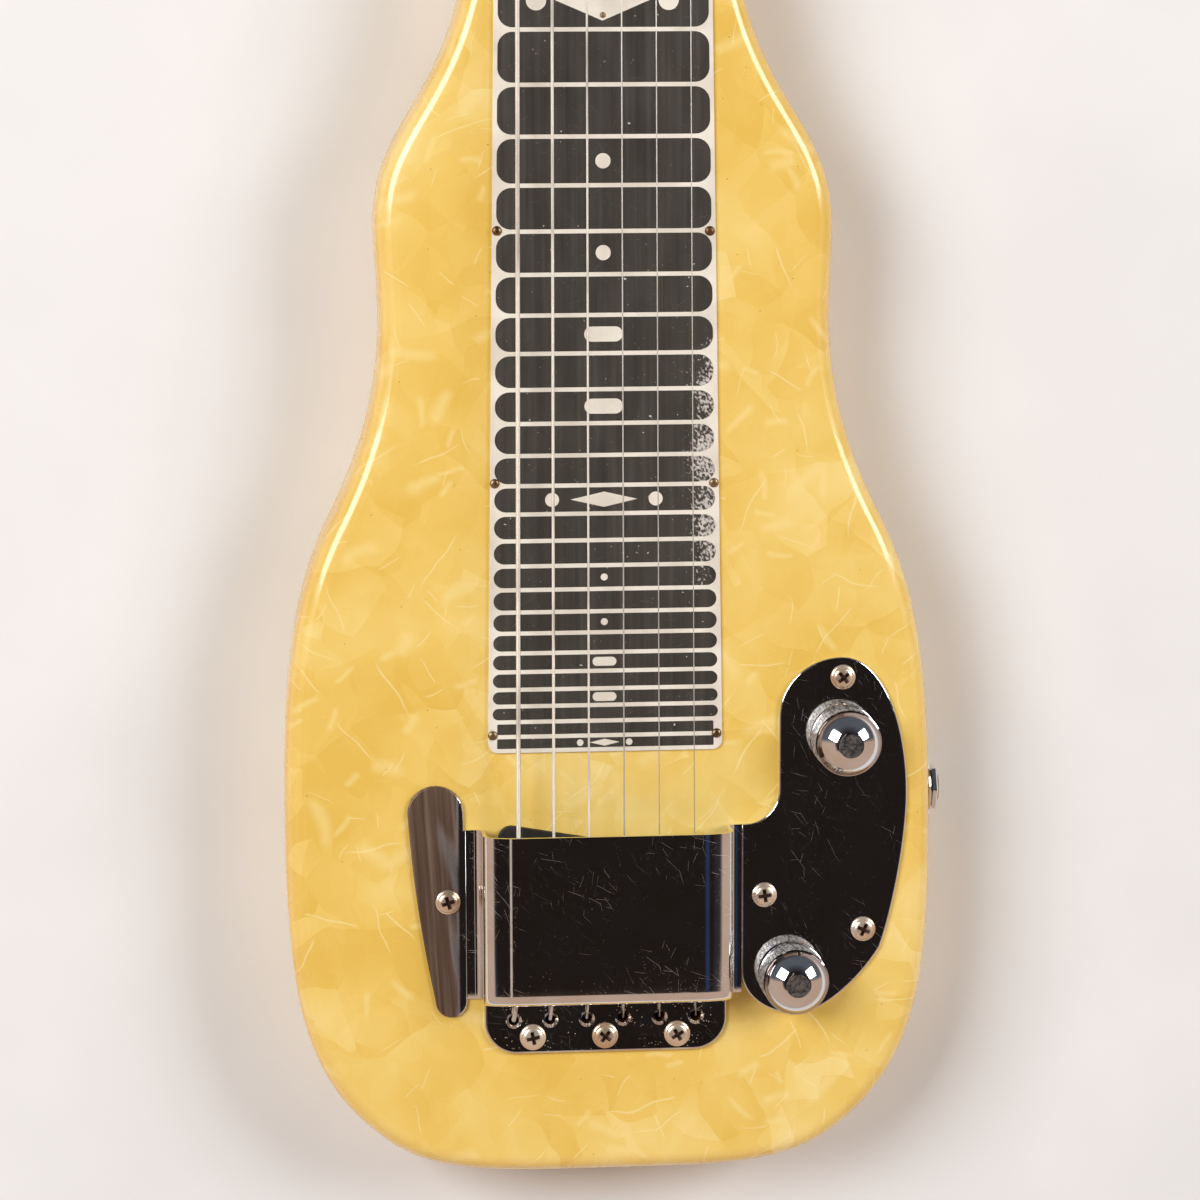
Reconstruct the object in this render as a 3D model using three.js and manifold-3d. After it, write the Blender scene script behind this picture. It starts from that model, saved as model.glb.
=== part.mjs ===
// Lap steel guitar: a solid body wrapped in pearloid sheet, a metal fretboard plate, six strings,
// a chrome cover over the pickup and an open gear tuner for each string.
// Millimetres. +X points to the treble side, +Y to the head and +Z up from the flat back.
// The origin is on the back, on the fretboard's centre line, under the line where the strings
// break over the bridge.

import * as THREE from 'three';
import { mergeVertices } from 'three/addons/utils/BufferGeometryUtils.js';
import Module from 'manifold-3d';

const wasm = await Module();
wasm.setup();

// Driving dimensions

const scaleLength = 571.5;
const fretCount = 36;
const notesPerOctave = 12;

const clearance = {
  seat: 0.3,
  overrun: 2,
};

const body = {
  thickness: 35,
  edgeRadius: 6,
  skin: 1,
  seamHeight: 20,
  neckHalf: 37,
  neckRootRise: 107,
  shoulderHalf: 68.1,
  shoulderRise: 25.4,
  waistHalf: 67,
  waistRise: 62.4,
  flankHalf: 83.1,
  flankRise: 97.8,
  boutHalf: 97.9,
  boutY: 41.7,
  cornerHalf: 68.1,
  cornerDrop: 49.9,
  tailDepth: 10.3,
  lean: 1.9,
  leanRunOut: 60,
};

const head = {
  nutHalf: 33.7,
  half: 41,
  flareLength: 26,
  cornerRadius: 15,
  length: 122.5,
  crown: 4,
  faceHeight: 28,
  backHeight: 14.5,
  faceStep: 7.5,
  faceRamp: 9,
  backStep: 5.5,
  backRamp: 12,
};

const board = {
  thickness: 0.8,
  halfAtBridge: 36.3,
  halfAtNut: 28.3,
  cornerRadius: 3,
  endMargin: 0.7,
};

const nut = {
  length: 4.5,
  overhang: 0.8,
};

const strings = {
  centreX: -0.5,
  nutPitch: 9.6,
  bridgePitch: 10.7,
  holePitch: 11.1,
  nutRise: 7.8,
  bridgeRise: 9.4,
  diameters: [1.32, 0.91, 0.66, 0.43, 0.36, 0.3],
  bendDrop: 2,
  bendRise: 1.5,
  ballRadius: 1.9,
  ballLength: 1.5,
};

const winding = {
  turns: 2.5,
  gap: 0.5,
  stepsPerTurn: 10,
  sides: 5,
};

const bridge = {
  plateThickness: 1.5,
  half: 36.9,
  tongueHalf: 30.2,
  rearY: -22,
  shoulderY: -5.4,
  frontY: 6.5,
  cornerRadius: 10,
  ridgeThickness: 2.4,
  ridgeMargin: 2,
  holeRadius: 1.6,
  holeY: -11.6,
  screwY: -16.8,
  screwPitch: 22,
  screwCount: 3,
};

const anchor = {
  thickness: 3.5,
  half: 33.5,
  width: 11,
  cornerRadius: 3.6,
  stringHoleRadius: 1.1,
  shoulder: 1,
  bodyHoleRadius: 2.4,
};

const cover = {
  sheet: 1.2,
  rise: 14.2,
  frontY: 47.5,
  rearY: -4.6,
  rearRadius: 4,
  leftBaseX: -43.2,
  leftTopX: -28,
  rightTopX: 28.5,
  rightBaseX: 42.2,
  mouthHeight: 8.8,
  weldOverlap: 1,
};

const ear = {
  tipY: 61.1,
  topRadius: 8.4,
  bottomRadius: 4.8,
  bottomY: -10.2,
  outerX: -59.8,
  bulge: 2.1,
};

const plate = {
  innerX: 52.6,
  inletRadius: 10.4,
  archY: 80,
  apexX: 71.8,
  apexY: 98.2,
  outerX: 91.8,
  outerY: 56,
  lowerX: 83.7,
  lowerY: 8.3,
  bottomX: 58.5,
  bottomY: -11.8,
  heelY: 2,
};

const cavity = {
  floor: 8,
  land: 2,
  cornerRadius: 5,
  corridorWidth: 15,
  jackHalfWidth: 9.5,
  jackInnerX: 62,
  jackWall: 10.3,
  channelWidth: 5,
  channelFloor: 24,
  channelY: 36,
};

const pickup = {
  centreY: 35,
  skewDegrees: 5,
  flangeLength: 62,
  flangeWidth: 22,
  flangeThickness: 1.6,
  flangeCorner: 3,
  pocketLength: 55,
  pocketWidth: 16.5,
  pocketFloor: 18.5,
  coreLength: 48,
  coreWidth: 6,
  coilWall: 3,
  lowerFlangeHeight: 26,
  bladeLength: 45,
  bladeThickness: 1.8,
  bladeReach: 3.2,
  magnetHeight: 5,
  magnetWidth: 6,
};

const volume = { x: 72.2, y: 73.6 };
const tone = { x: 56.6, y: 0.6 };

const knob = {
  skirtRadius: 10.2,
  skirtHeight: 1.6,
  barrelRadius: 9.7,
  barrelHeight: 9.5,
  height: 14.4,
  dimpleRadius: 4,
  dimpleDepth: 0.5,
  wall: 1.6,
  bossRadius: 5,
  lift: 0.9,
  boreDepth: 9,
};

const pot = {
  radius: 9,
  depth: 9,
  bushingRadius: 4.5,
  bushingReach: 3.4,
  shaftRadius: 3,
  shaftInset: 5,
  tabWidth: 2.2,
  tabThickness: 0.8,
  tabReach: 4,
  tabCount: 3,
  tabPitch: 3.6,
  nutRadius: 6.6,
  nutHeight: 2.2,
};

const capacitor = {
  radius: 2.4,
  length: 11,
  leadLength: 4,
  leadRadius: 0.5,
  drop: 4.5,
};

const lead = {
  steps: 12,
  radius: 1.1,
  sides: 6,
  sag: 3.5,
  spread: 5,
};

const jack = {
  y: 54.3,
  height: 17.5,
  boreRadius: 3.25,
  sleeveRadius: 4.7,
  washerRadius: 10.3,
  washerHeight: 1.5,
  washerRim: 0.7,
  nutRadius: 7.2,
  nutHeight: 1.8,
  sleeveProud: 0.6,
  flangeRadius: 7,
  flangeThickness: 2,
  springWidth: 4.5,
  springThickness: 0.8,
  springLength: 16,
  springOffset: 4.4,
};

const screw = {
  shankRadius: 1.5,
  headRadius: 3.75,
  bridgeHeadRadius: 3.95,
  headHeight: 1.9,
  headRim: 0.6,
  length: 16,
  tipLength: 3,
};

const coverScrews = {
  earX: -47.9,
  earY: 25.6,
};

const plateScrewPlaces = {
  archX: 71.9,
  archY: 92.1,
  innerX: 48.2,
  innerY: 25.6,
  outerX: 78.5,
  outerY: 14.3,
};

const tuner = {
  postX: 27.5,
  firstFromNut: 26.5,
  pitch: 34,
  perSide: 3,
  postRadius: 3,
  postRise: 12,
  capRadius: 3.6,
  capHeight: 1.2,
  windingRise: 8.6,
  eyeRadius: 0.9,
  stripThickness: 1.2,
  stripInnerReach: 7,
  stripOuterReach: 8,
  stripEndMargin: 7.5,
  gearTeeth: 14,
  gearPitchRadius: 5,
  gearThickness: 3,
  gearDrop: 4.4,
  wormPitchRadius: 1.9,
  addendum: 0.5,
  dedendum: 0.7,
  wormTurns: 2,
  wormSteps: 8,
  shaftRadius: 1.4,
  earThickness: 1.2,
  earHalfWidth: 2.5,
  earGap: 0.4,
  keyReach: 18.5,
  collarRadius: 2.4,
  collarLength: 3,
};

const button = {
  length: 12.5,
  width: 16,
  thickness: 7,
  socketDepth: 6,
  unitRadius: 0.5,
};

const segments = {
  corner: 3,
  edge: 1,
  bend: 5,
  small: 6,
  outline: 7,
  hole: 8,
  coarse: 10,
  shaft: 12,
  round: 16,
  smooth: 18,
};

// Values worked out from the driving dimensions

const flankY = body.boutY + body.flankRise;
const waistY = flankY + body.waistRise;
const shoulderY = waistY + body.shoulderRise;
const neckRootY = shoulderY + body.neckRootRise;
const tailY = -body.cornerDrop - body.tailDepth;
const headEndY = scaleLength + head.length;
const faceHeight = body.thickness;
const boardTop = faceHeight + board.thickness;
const plateTop = faceHeight + cover.sheet;
const coverTop = plateTop + cover.rise;
const bridgeTop = faceHeight + bridge.plateThickness;
const stringCount = strings.diameters.length;
const bridgeCentreX = strings.centreX / 2;
const nutStringHeight = faceHeight + strings.nutRise;
const bridgeStringHeight = faceHeight + strings.bridgeRise;
const potLow = faceHeight - clearance.seat - pot.depth;
const postTop = head.faceHeight + tuner.postRise;
const plateScrews = [
  { x: plateScrewPlaces.archX, y: plateScrewPlaces.archY },
  { x: plateScrewPlaces.innerX, y: plateScrewPlaces.innerY },
  { x: plateScrewPlaces.outerX, y: plateScrewPlaces.outerY },
];

// Finishes

function finish(color, roughness, metalness) {
  return new THREE.MeshStandardMaterial({ color, roughness, metalness });
}

const finishes = {
  wood: finish(0xb98a56, 0.7, 0),
  pearloid: finish(0xf0cc6c, 0.25, 0),
  boardMetal: finish(0xd6cfc6, 0.4, 0.8),
  chrome: finish(0xd9dbe0, 0.08, 1),
  steel: finish(0xb9bbbf, 0.3, 1),
  wire: finish(0xd8d6d0, 0.25, 1),
  brass: finish(0xb8974e, 0.35, 1),
  fibre: finish(0x4a3222, 0.7, 0),
  copper: finish(0x9a5a32, 0.4, 0.7),
  magnet: finish(0x4c4c50, 0.5, 0.6),
  capacitor: finish(0xa8452c, 0.5, 0),
  insulation: finish(0xe6e0d0, 0.6, 0),
  button: finish(0xf2ead6, 0.35, 0),
};

// Solids: a closed geometry becomes a solid that can be joined and cut

function solidOf(geometry) {
  const bare = geometry.clone();
  for (const name of Object.keys(bare.attributes)) {
    if (name !== 'position') {
      bare.deleteAttribute(name);
    }
  }
  const merged = mergeVertices(bare);
  const mesh = new wasm.Mesh({
    numProp: 3,
    vertProperties: new Float32Array(merged.attributes.position.array),
    triVerts: new Uint32Array(merged.index.array),
  });
  return new wasm.Manifold(mesh);
}

function geometryOf(solid) {
  const mesh = solid.getMesh();
  const geometry = new THREE.BufferGeometry();
  geometry.setAttribute('position', new THREE.BufferAttribute(new Float32Array(mesh.vertProperties), 3));
  geometry.setIndex(new THREE.BufferAttribute(new Uint32Array(mesh.triVerts), 1));
  const flat = geometry.toNonIndexed();
  flat.computeVertexNormals();
  return flat;
}

function joined(parts) {
  return parts.reduce((whole, part) => whole.add(part));
}

function cut(whole, cutters) {
  return cutters.reduce((rest, cutter) => rest.subtract(cutter), whole);
}

// Extrusions: upwards from a height, along Y from an outline in X and Z, along X from one in Y and Z

function upright(shape, low, high, curveSegments = segments.coarse) {
  const settings = { depth: high - low, bevelEnabled: false, curveSegments };
  return solidOf(new THREE.ExtrudeGeometry(shape, settings).translate(0, 0, low));
}

function alongY(shape, rear, front) {
  const geometry = new THREE.ExtrudeGeometry(shape, { depth: front - rear, bevelEnabled: false });
  return solidOf(geometry.rotateX(Math.PI / 2).translate(0, front, 0));
}

function alongX(shape, left, right) {
  const geometry = new THREE.ExtrudeGeometry(shape, { depth: right - left, bevelEnabled: false });
  return solidOf(geometry.rotateX(Math.PI / 2).rotateZ(Math.PI / 2).translate(left, 0, 0));
}

function cylinder(radius, low, high, x, y, sides = segments.coarse) {
  const geometry = new THREE.CylinderGeometry(radius, radius, high - low, sides);
  return solidOf(geometry.rotateX(Math.PI / 2).translate(x, y, (low + high) / 2));
}

function cylinderAlongX(radius, left, right, y, z, sides = segments.coarse) {
  const geometry = new THREE.CylinderGeometry(radius, radius, right - left, sides);
  return solidOf(geometry.rotateZ(Math.PI / 2).translate((left + right) / 2, y, z));
}

function box(left, right, rear, front, low, high) {
  const geometry = new THREE.BoxGeometry(right - left, front - rear, high - low);
  return solidOf(geometry.translate((left + right) / 2, (rear + front) / 2, (low + high) / 2));
}

function turned(profile, sides = segments.round) {
  const points = profile.map(([radius, height]) => new THREE.Vector2(radius, height));
  return new THREE.LatheGeometry(points, sides).rotateX(Math.PI / 2);
}

function roundedRectangle(length, width, radius) {
  const x = length / 2;
  const y = width / 2;
  const shape = new THREE.Shape();
  shape.moveTo(-x + radius, -y);
  shape.lineTo(x - radius, -y);
  shape.absarc(x - radius, -y + radius, radius, -Math.PI / 2, 0);
  shape.lineTo(x, y - radius);
  shape.absarc(x - radius, y - radius, radius, 0, Math.PI / 2);
  shape.lineTo(-x + radius, y);
  shape.absarc(-x + radius, y - radius, radius, Math.PI / 2, Math.PI);
  shape.lineTo(-x, -y + radius);
  shape.absarc(-x + radius, -y + radius, radius, Math.PI, Math.PI * 1.5);
  return shape;
}

function polygon(points) {
  return new THREE.Shape(points.map(([x, y]) => new THREE.Vector2(x, y)));
}

// A tube swept along points, closed at both ends, with its own radius at each point

function sweep(points, radii, sides) {
  const count = points.length;
  const tangents = points.map((point, i) => {
    const ahead = points[Math.min(i + 1, count - 1)];
    const behind = points[Math.max(i - 1, 0)];
    return new THREE.Vector3().subVectors(ahead, behind).normalize();
  });
  const normal = new THREE.Vector3(1, 0, 0);
  if (Math.abs(tangents[0].x) > Math.SQRT1_2) {
    normal.set(0, 1, 0);
  }
  const positions = [];
  for (let i = 0; i < count; i += 1) {
    normal.addScaledVector(tangents[i], -normal.dot(tangents[i])).normalize();
    const binormal = new THREE.Vector3().crossVectors(tangents[i], normal);
    for (let k = 0; k < sides; k += 1) {
      const angle = (2 * Math.PI * k) / sides;
      const corner = points[i].clone();
      corner.addScaledVector(normal, radii[i] * Math.cos(angle));
      corner.addScaledVector(binormal, radii[i] * Math.sin(angle));
      positions.push(corner.x, corner.y, corner.z);
    }
  }
  const indices = [];
  for (let i = 0; i + 1 < count; i += 1) {
    for (let k = 0; k < sides; k += 1) {
      const a = i * sides + k;
      const b = i * sides + ((k + 1) % sides);
      indices.push(a, b, b + sides, a, b + sides, a + sides);
    }
  }
  const last = (count - 1) * sides;
  for (let k = 1; k + 1 < sides; k += 1) {
    indices.push(0, k + 1, k, last, last + k, last + k + 1);
  }
  const geometry = new THREE.BufferGeometry();
  geometry.setAttribute('position', new THREE.Float32BufferAttribute(positions, 3));
  geometry.setIndex(indices);
  return geometry;
}

// Body outline: one half as Bezier curves from the head's end to the tail, then mirrored.
// Handle lengths are shares of the drop along Y that each curve spans.

const outlineShares = {
  neckHandle: 0.667,
  shoulderHandle: 0.347,
  shoulderLowerHandle: 0.12,
  waistHandle: 0.2,
  waistLowerHandle: 0.405,
  flankHandle: 0.337,
  flankLowerHandle: 0.29,
  boutHandle: 0.442,
  boutLowerHandle: 0.533,
  cornerHandle: 0.336,
  cornerLowerHandle: 1.85,
  tailHandle: 3,
};
const outlineSteps = { flare: 4, neck: 6, shoulder: 2, waist: 5, flank: 6, bout: 7, tail: 5 };
const flankAngle = 1.1;
const cornerAngle = 0.64;

function bezier(from, fromHandle, to, toHandle) {
  const start = new THREE.Vector2(...from);
  const end = new THREE.Vector2(...to);
  const leave = new THREE.Vector2(...fromHandle).add(start);
  const arrive = new THREE.Vector2(...toHandle).add(end);
  return new THREE.CubicBezierCurve(start, leave, arrive, end);
}

function halfOutline() {
  const share = outlineShares;
  const flareY = scaleLength + head.flareLength;
  const neckSlope = (body.neckHalf - head.nutHalf) / (scaleLength - neckRootY);
  const flareDrop = head.flareLength / 2;
  const rootDrop = body.neckRootRise;
  const shoulderDrop = body.shoulderRise;
  const waistDrop = body.waistRise;
  const flankDrop = body.flankRise;
  const boutDrop = body.boutY + body.cornerDrop;
  const steps = outlineSteps;
  const flank = (length) => [length * Math.cos(flankAngle), -length * Math.sin(flankAngle)];
  const corner = (length) => [-length * Math.cos(cornerAngle), -length * Math.sin(cornerAngle)];
  const points = [[0, headEndY]];
  const sideTop = headEndY - head.crown - head.cornerRadius;
  const cornerX = head.half - head.cornerRadius;
  for (let i = 0; i <= segments.bend; i += 1) {
    const angle = (Math.PI / 2) * (1 - i / segments.bend);
    const along = head.cornerRadius * Math.cos(angle);
    points.push([cornerX + along, sideTop + head.cornerRadius * Math.sin(angle)]);
  }
  const curves = [
    [steps.flare, bezier(
      [head.half, flareY],
      [0, -flareDrop],
      [head.nutHalf, scaleLength],
      [0, flareDrop],
    )],
    [steps.neck, bezier(
      [body.neckHalf, neckRootY],
      [neckSlope * share.neckHandle * rootDrop, -share.neckHandle * rootDrop],
      [body.shoulderHalf, shoulderY],
      [0, share.shoulderHandle * rootDrop],
    )],
    [steps.shoulder, bezier(
      [body.shoulderHalf, shoulderY],
      [0, -share.shoulderLowerHandle * shoulderDrop],
      [body.waistHalf, waistY],
      [0, share.waistHandle * shoulderDrop],
    )],
    [steps.waist, bezier(
      [body.waistHalf, waistY],
      [0, -share.waistLowerHandle * waistDrop],
      [body.flankHalf, flankY],
      flank(-share.flankHandle * waistDrop),
    )],
    [steps.flank, bezier(
      [body.flankHalf, flankY],
      flank(share.flankLowerHandle * flankDrop),
      [body.boutHalf, body.boutY],
      [0, share.boutHandle * flankDrop],
    )],
    [steps.bout, bezier(
      [body.boutHalf, body.boutY],
      [0, -share.boutLowerHandle * boutDrop],
      [body.cornerHalf, -body.cornerDrop],
      corner(-share.cornerHandle * boutDrop),
    )],
    [steps.tail, bezier(
      [body.cornerHalf, -body.cornerDrop],
      corner(share.cornerLowerHandle * body.tailDepth),
      [0, tailY],
      [share.tailHandle * body.tailDepth, 0],
    )],
  ];
  let previous = null;
  for (const [count, curve] of curves) {
    for (const point of curve.getPoints(count)) {
      if (previous === null || point.distanceTo(previous) > clearance.seat) {
        points.push([point.x, point.y]);
        previous = point;
      }
    }
  }
  return points;
}

// The lower bout sits a little to the treble side of the fretboard's centre line

function leanAt(y) {
  return body.lean * THREE.MathUtils.clamp(1 - y / (neckRootY + body.leanRunOut), 0, 1);
}

function bodyOutline() {
  const half = halfOutline();
  const right = half.map(([x, y]) => new THREE.Vector2(x + leanAt(y), y));
  const left = half.slice(1, -1).reverse().map(([x, y]) => new THREE.Vector2(-x + leanAt(y), y));
  return [...right, ...left].reverse();
}

const outline = bodyOutline();
const sideX = Math.max(...outline.map((point) => point.x));
const jackBayX = sideX - cavity.jackWall;
const jackSpringEnd = jackBayX - jack.flangeThickness - jack.springLength;
const jackBayInnerX = Math.min(cavity.jackInnerX, jackSpringEnd - 4 * lead.radius);

function insetOutline(distance) {
  const count = outline.length;
  return outline.map((point, i) => {
    const before = outline[(i + count - 1) % count];
    const after = outline[(i + 1) % count];
    const along = new THREE.Vector2().subVectors(after, before).normalize();
    return new THREE.Vector2(point.x - along.y * distance, point.y + along.x * distance);
  });
}

// A slab of the body outline, inset all round, with rounded upper and lower edges

function slab(inset, edgeSteps) {
  const radius = body.edgeRadius - inset;
  const rings = [];
  for (let i = 0; i <= edgeSteps; i += 1) {
    const angle = (Math.PI / 2) * (i / edgeSteps);
    const sideways = inset + radius * (1 - Math.sin(angle));
    rings.push({ distance: sideways, height: inset + radius * (1 - Math.cos(angle)) });
  }
  for (const ring of rings.slice().reverse()) {
    rings.push({ distance: ring.distance, height: body.thickness - ring.height });
  }
  const positions = [];
  for (const ring of rings) {
    for (const point of insetOutline(ring.distance)) {
      positions.push(point.x, point.y, ring.height);
    }
  }
  const count = outline.length;
  const indices = [];
  for (let r = 0; r + 1 < rings.length; r += 1) {
    for (let i = 0; i < count; i += 1) {
      const a = r * count + i;
      const b = r * count + ((i + 1) % count);
      indices.push(a, b, b + count, a, b + count, a + count);
    }
  }
  const last = (rings.length - 1) * count;
  for (const [a, b, c] of THREE.ShapeUtils.triangulateShape(insetOutline(rings[0].distance), [])) {
    indices.push(a, c, b, last + a, last + b, last + c);
  }
  const geometry = new THREE.BufferGeometry();
  geometry.setAttribute('position', new THREE.Float32BufferAttribute(positions, 3));
  geometry.setIndex(indices);
  return cut(solidOf(geometry), headSteps(inset));
}

// The head is thinner than the neck: its face and its back both step down over a ramp

function headSteps(inset) {
  const reach = headEndY + clearance.overrun;
  const above = body.thickness + clearance.overrun;
  const faceStepY = scaleLength + head.faceStep;
  const backStepY = scaleLength - head.backStep;
  const faceStep = polygon([
    [faceStepY, above],
    [faceStepY, faceHeight],
    [faceStepY + head.faceRamp, head.faceHeight],
    [reach, head.faceHeight],
    [reach, above],
  ].map(([y, z]) => [y - inset, z - inset]));
  const backStep = polygon([
    [backStepY, -clearance.overrun],
    [reach, -clearance.overrun],
    [reach, head.backHeight],
    [backStepY + head.backRamp, head.backHeight],
    [backStepY, 0],
  ].map(([y, z]) => [y - inset, z + inset]));
  const width = 2 * body.boutHalf;
  return [alongX(faceStep, -width, width), alongX(backStep, -width, width)];
}

// Places that several pieces share

function stringOffset(index, pitch) {
  return strings.centreX + (index - (stringCount - 1) / 2) * pitch;
}

function spread(count, pitch) {
  return Array.from({ length: count }, (_, i) => (i - (count - 1) / 2) * pitch);
}

const stringHoles = strings.diameters.map((_, i) => (
  { x: stringOffset(i, strings.holePitch), y: bridge.holeY }
));
const bridgeScrews = spread(bridge.screwCount, bridge.screwPitch).map((x) => (
  { x: strings.centreX + x, y: bridge.screwY }
));
const postPlaces = [-1, 1].flatMap((side) => Array.from({ length: tuner.perSide }, (_, i) => ({
  side,
  x: side * tuner.postX,
  y: scaleLength + tuner.firstFromNut + i * tuner.pitch,
})));

// The corridor runs from the tone well to the volume well

const corridor = new THREE.Vector2(volume.x - tone.x, volume.y - tone.y);

function inCorridor(along, sideways, height) {
  const forward = corridor.clone().normalize();
  return [
    tone.x + forward.x * along - forward.y * sideways,
    tone.y + forward.y * along + forward.x * sideways,
    height,
  ];
}

function fretY(fret) {
  return scaleLength * 2 ** (-fret / notesPerOctave);
}

// Hollows in the core and the front covering

function pocketCutters() {
  const top = faceHeight + clearance.overrun;
  const skew = -pickup.skewDegrees;
  const pocketShape = roundedRectangle(pickup.pocketLength, pickup.pocketWidth, pickup.flangeCorner);
  const pocket = upright(pocketShape, pickup.pocketFloor, top, segments.corner).rotate([0, 0, skew]);
  const channelEnd = tone.x + pot.radius;
  const half = cavity.channelWidth / 2;
  const rear = cavity.channelY - half;
  const channel = box(0, channelEnd, rear, rear + cavity.channelWidth, cavity.channelFloor, top);
  return [pocket.translate([0, pickup.centreY, 0]), channel];
}

function controlCavity() {
  const top = faceHeight + clearance.overrun;
  const wellRadius = pot.radius + cavity.land;
  const corridorShape = roundedRectangle(corridor.length(), cavity.corridorWidth, cavity.cornerRadius);
  const turn = THREE.MathUtils.radToDeg(corridor.angle());
  const middle = [(volume.x + tone.x) / 2, (volume.y + tone.y) / 2, 0];
  const jackBay = box(
    jackBayInnerX,
    jackBayX,
    jack.y - cavity.jackHalfWidth,
    jack.y + cavity.jackHalfWidth,
    cavity.floor,
    top,
  );
  return joined([
    cylinder(wellRadius + cavity.land, cavity.floor, top, volume.x, volume.y, segments.round),
    cylinder(wellRadius - clearance.seat, cavity.floor, top, tone.x, tone.y, segments.round),
    upright(corridorShape, cavity.floor, top, segments.corner).rotate([0, 0, turn]).translate(middle),
    jackBay,
  ]);
}

function boreCutters() {
  const through = body.thickness + clearance.overrun;
  const screwBottom = faceHeight - screw.length - clearance.overrun;
  const screwRadius = screw.shankRadius + clearance.seat;
  const postRadius = tuner.postRadius + clearance.seat;
  const jackRadius = jack.sleeveRadius + clearance.seat;
  const jackEnd = sideX + clearance.overrun;
  const screwPlaces = [...bridgeScrews, ...plateScrews, { x: coverScrews.earX, y: coverScrews.earY }];
  const recessShape = roundedRectangle(
    2 * (anchor.half + clearance.seat),
    anchor.width + 2 * clearance.seat,
    anchor.cornerRadius,
  );
  const recessTop = anchor.thickness + clearance.seat;
  const recess = upright(recessShape, -clearance.overrun, recessTop, segments.corner);
  return [
    ...screwPlaces.map(({ x, y }) => cylinder(screwRadius, screwBottom, through, x, y, segments.hole)),
    ...stringHoles.map(({ x, y }) => cylinder(anchor.bodyHoleRadius, 0, through, x, y, segments.hole)),
    ...postPlaces.map(({ x, y }) => cylinder(postRadius, 0, through, x, y)),
    cylinderAlongX(jackRadius, jackBayX - cavity.jackWall, jackEnd, jack.y, jack.height, segments.round),
    recess.translate([strings.centreX, bridge.holeY, 0]),
  ];
}

function woodenPieces() {
  const hollows = [...pocketCutters(), controlCavity(), ...boreCutters()];
  const shell = cut(slab(0, segments.corner).subtract(slab(body.skin, segments.edge)), hollows);
  const width = 2 * body.boutHalf;
  const low = -clearance.overrun;
  const high = body.thickness + clearance.overrun;
  const rear = tailY - clearance.overrun;
  const front = headEndY + clearance.overrun;
  const upper = box(-width, width, rear, front, body.seamHeight, high);
  const lower = box(-width, width, rear, front, low, body.seamHeight);
  return {
    core: cut(slab(body.skin + clearance.seat, segments.edge), hollows),
    frontCovering: shell.intersect(upper),
    backCovering: shell.intersect(lower),
  };
}

// Fretboard plate and nut

function boardHalfAt(y) {
  return board.halfAtBridge + ((board.halfAtNut - board.halfAtBridge) * y) / scaleLength;
}

function fretboardPlate() {
  const end = fretY(fretCount) - board.endMargin;
  const top = scaleLength;
  const radius = board.cornerRadius;
  const half = boardHalfAt(end);
  const shape = new THREE.Shape();
  shape.moveTo(boardHalfAt(top), top);
  shape.lineTo(-boardHalfAt(top), top);
  shape.lineTo(-half, end + radius);
  shape.absarc(-half + radius, end + radius, radius, Math.PI, Math.PI * 1.5);
  shape.lineTo(half - radius, end);
  shape.absarc(half - radius, end + radius, radius, -Math.PI / 2, 0);
  return upright(shape, faceHeight, boardTop, segments.corner);
}

function nutBar() {
  const half = board.halfAtNut - nut.overhang;
  const rear = scaleLength + clearance.seat;
  const front = rear + nut.length;
  const bar = box(-half, half, rear, front, faceHeight, nutStringHeight);
  const slots = strings.diameters.map((diameter, i) => {
    const radius = diameter / 2 + clearance.seat;
    const length = nut.length + 2 * clearance.overrun;
    const geometry = new THREE.CylinderGeometry(radius, radius, length, segments.small);
    const x = stringOffset(i, strings.nutPitch);
    return solidOf(geometry.translate(x, rear + nut.length / 2, nutStringHeight));
  });
  return cut(bar, slots);
}

// Bridge plate with its ridge, and the anchor plate let into the back

function bridgePlate() {
  const radius = bridge.cornerRadius;
  const x = bridgeCentreX;
  const shape = new THREE.Shape();
  shape.moveTo(x - bridge.tongueHalf, bridge.frontY);
  shape.lineTo(x - bridge.tongueHalf, bridge.shoulderY);
  shape.lineTo(x - bridge.half, bridge.shoulderY);
  shape.lineTo(x - bridge.half, bridge.rearY + radius);
  shape.absarc(x - bridge.half + radius, bridge.rearY + radius, radius, Math.PI, Math.PI * 1.5);
  shape.lineTo(x + bridge.half - radius, bridge.rearY);
  shape.absarc(x + bridge.half - radius, bridge.rearY + radius, radius, -Math.PI / 2, 0);
  shape.lineTo(x + bridge.half, bridge.shoulderY);
  shape.lineTo(x + bridge.tongueHalf, bridge.shoulderY);
  shape.lineTo(x + bridge.tongueHalf, bridge.frontY);
  const thickest = Math.max(...strings.diameters) / 2;
  const ridgeTop = bridgeStringHeight - thickest - clearance.seat;
  const ridgeHalf = bridge.tongueHalf - bridge.ridgeMargin;
  const ridgeCap = bridge.ridgeThickness / 2;
  const ridge = alongX(polygon([
    [-ridgeCap, faceHeight],
    [ridgeCap, faceHeight],
    [ridgeCap, ridgeTop - ridgeCap / 2],
    [ridgeCap / 2, ridgeTop],
    [0, ridgeTop],
    [-ridgeCap, ridgeTop - ridgeCap],
  ]), x - ridgeHalf, x + ridgeHalf);
  const top = bridgeTop + clearance.overrun;
  const screwRadius = screw.shankRadius + clearance.seat;
  const sides = segments.hole;
  const screwHoles = bridgeScrews.map((place) => cylinder(screwRadius, 0, top, place.x, place.y, sides));
  const holes = stringHoles.map((place) => cylinder(bridge.holeRadius, 0, top, place.x, place.y, sides));
  return cut(upright(shape, faceHeight, bridgeTop, segments.bend).add(ridge), [...screwHoles, ...holes]);
}

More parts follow.
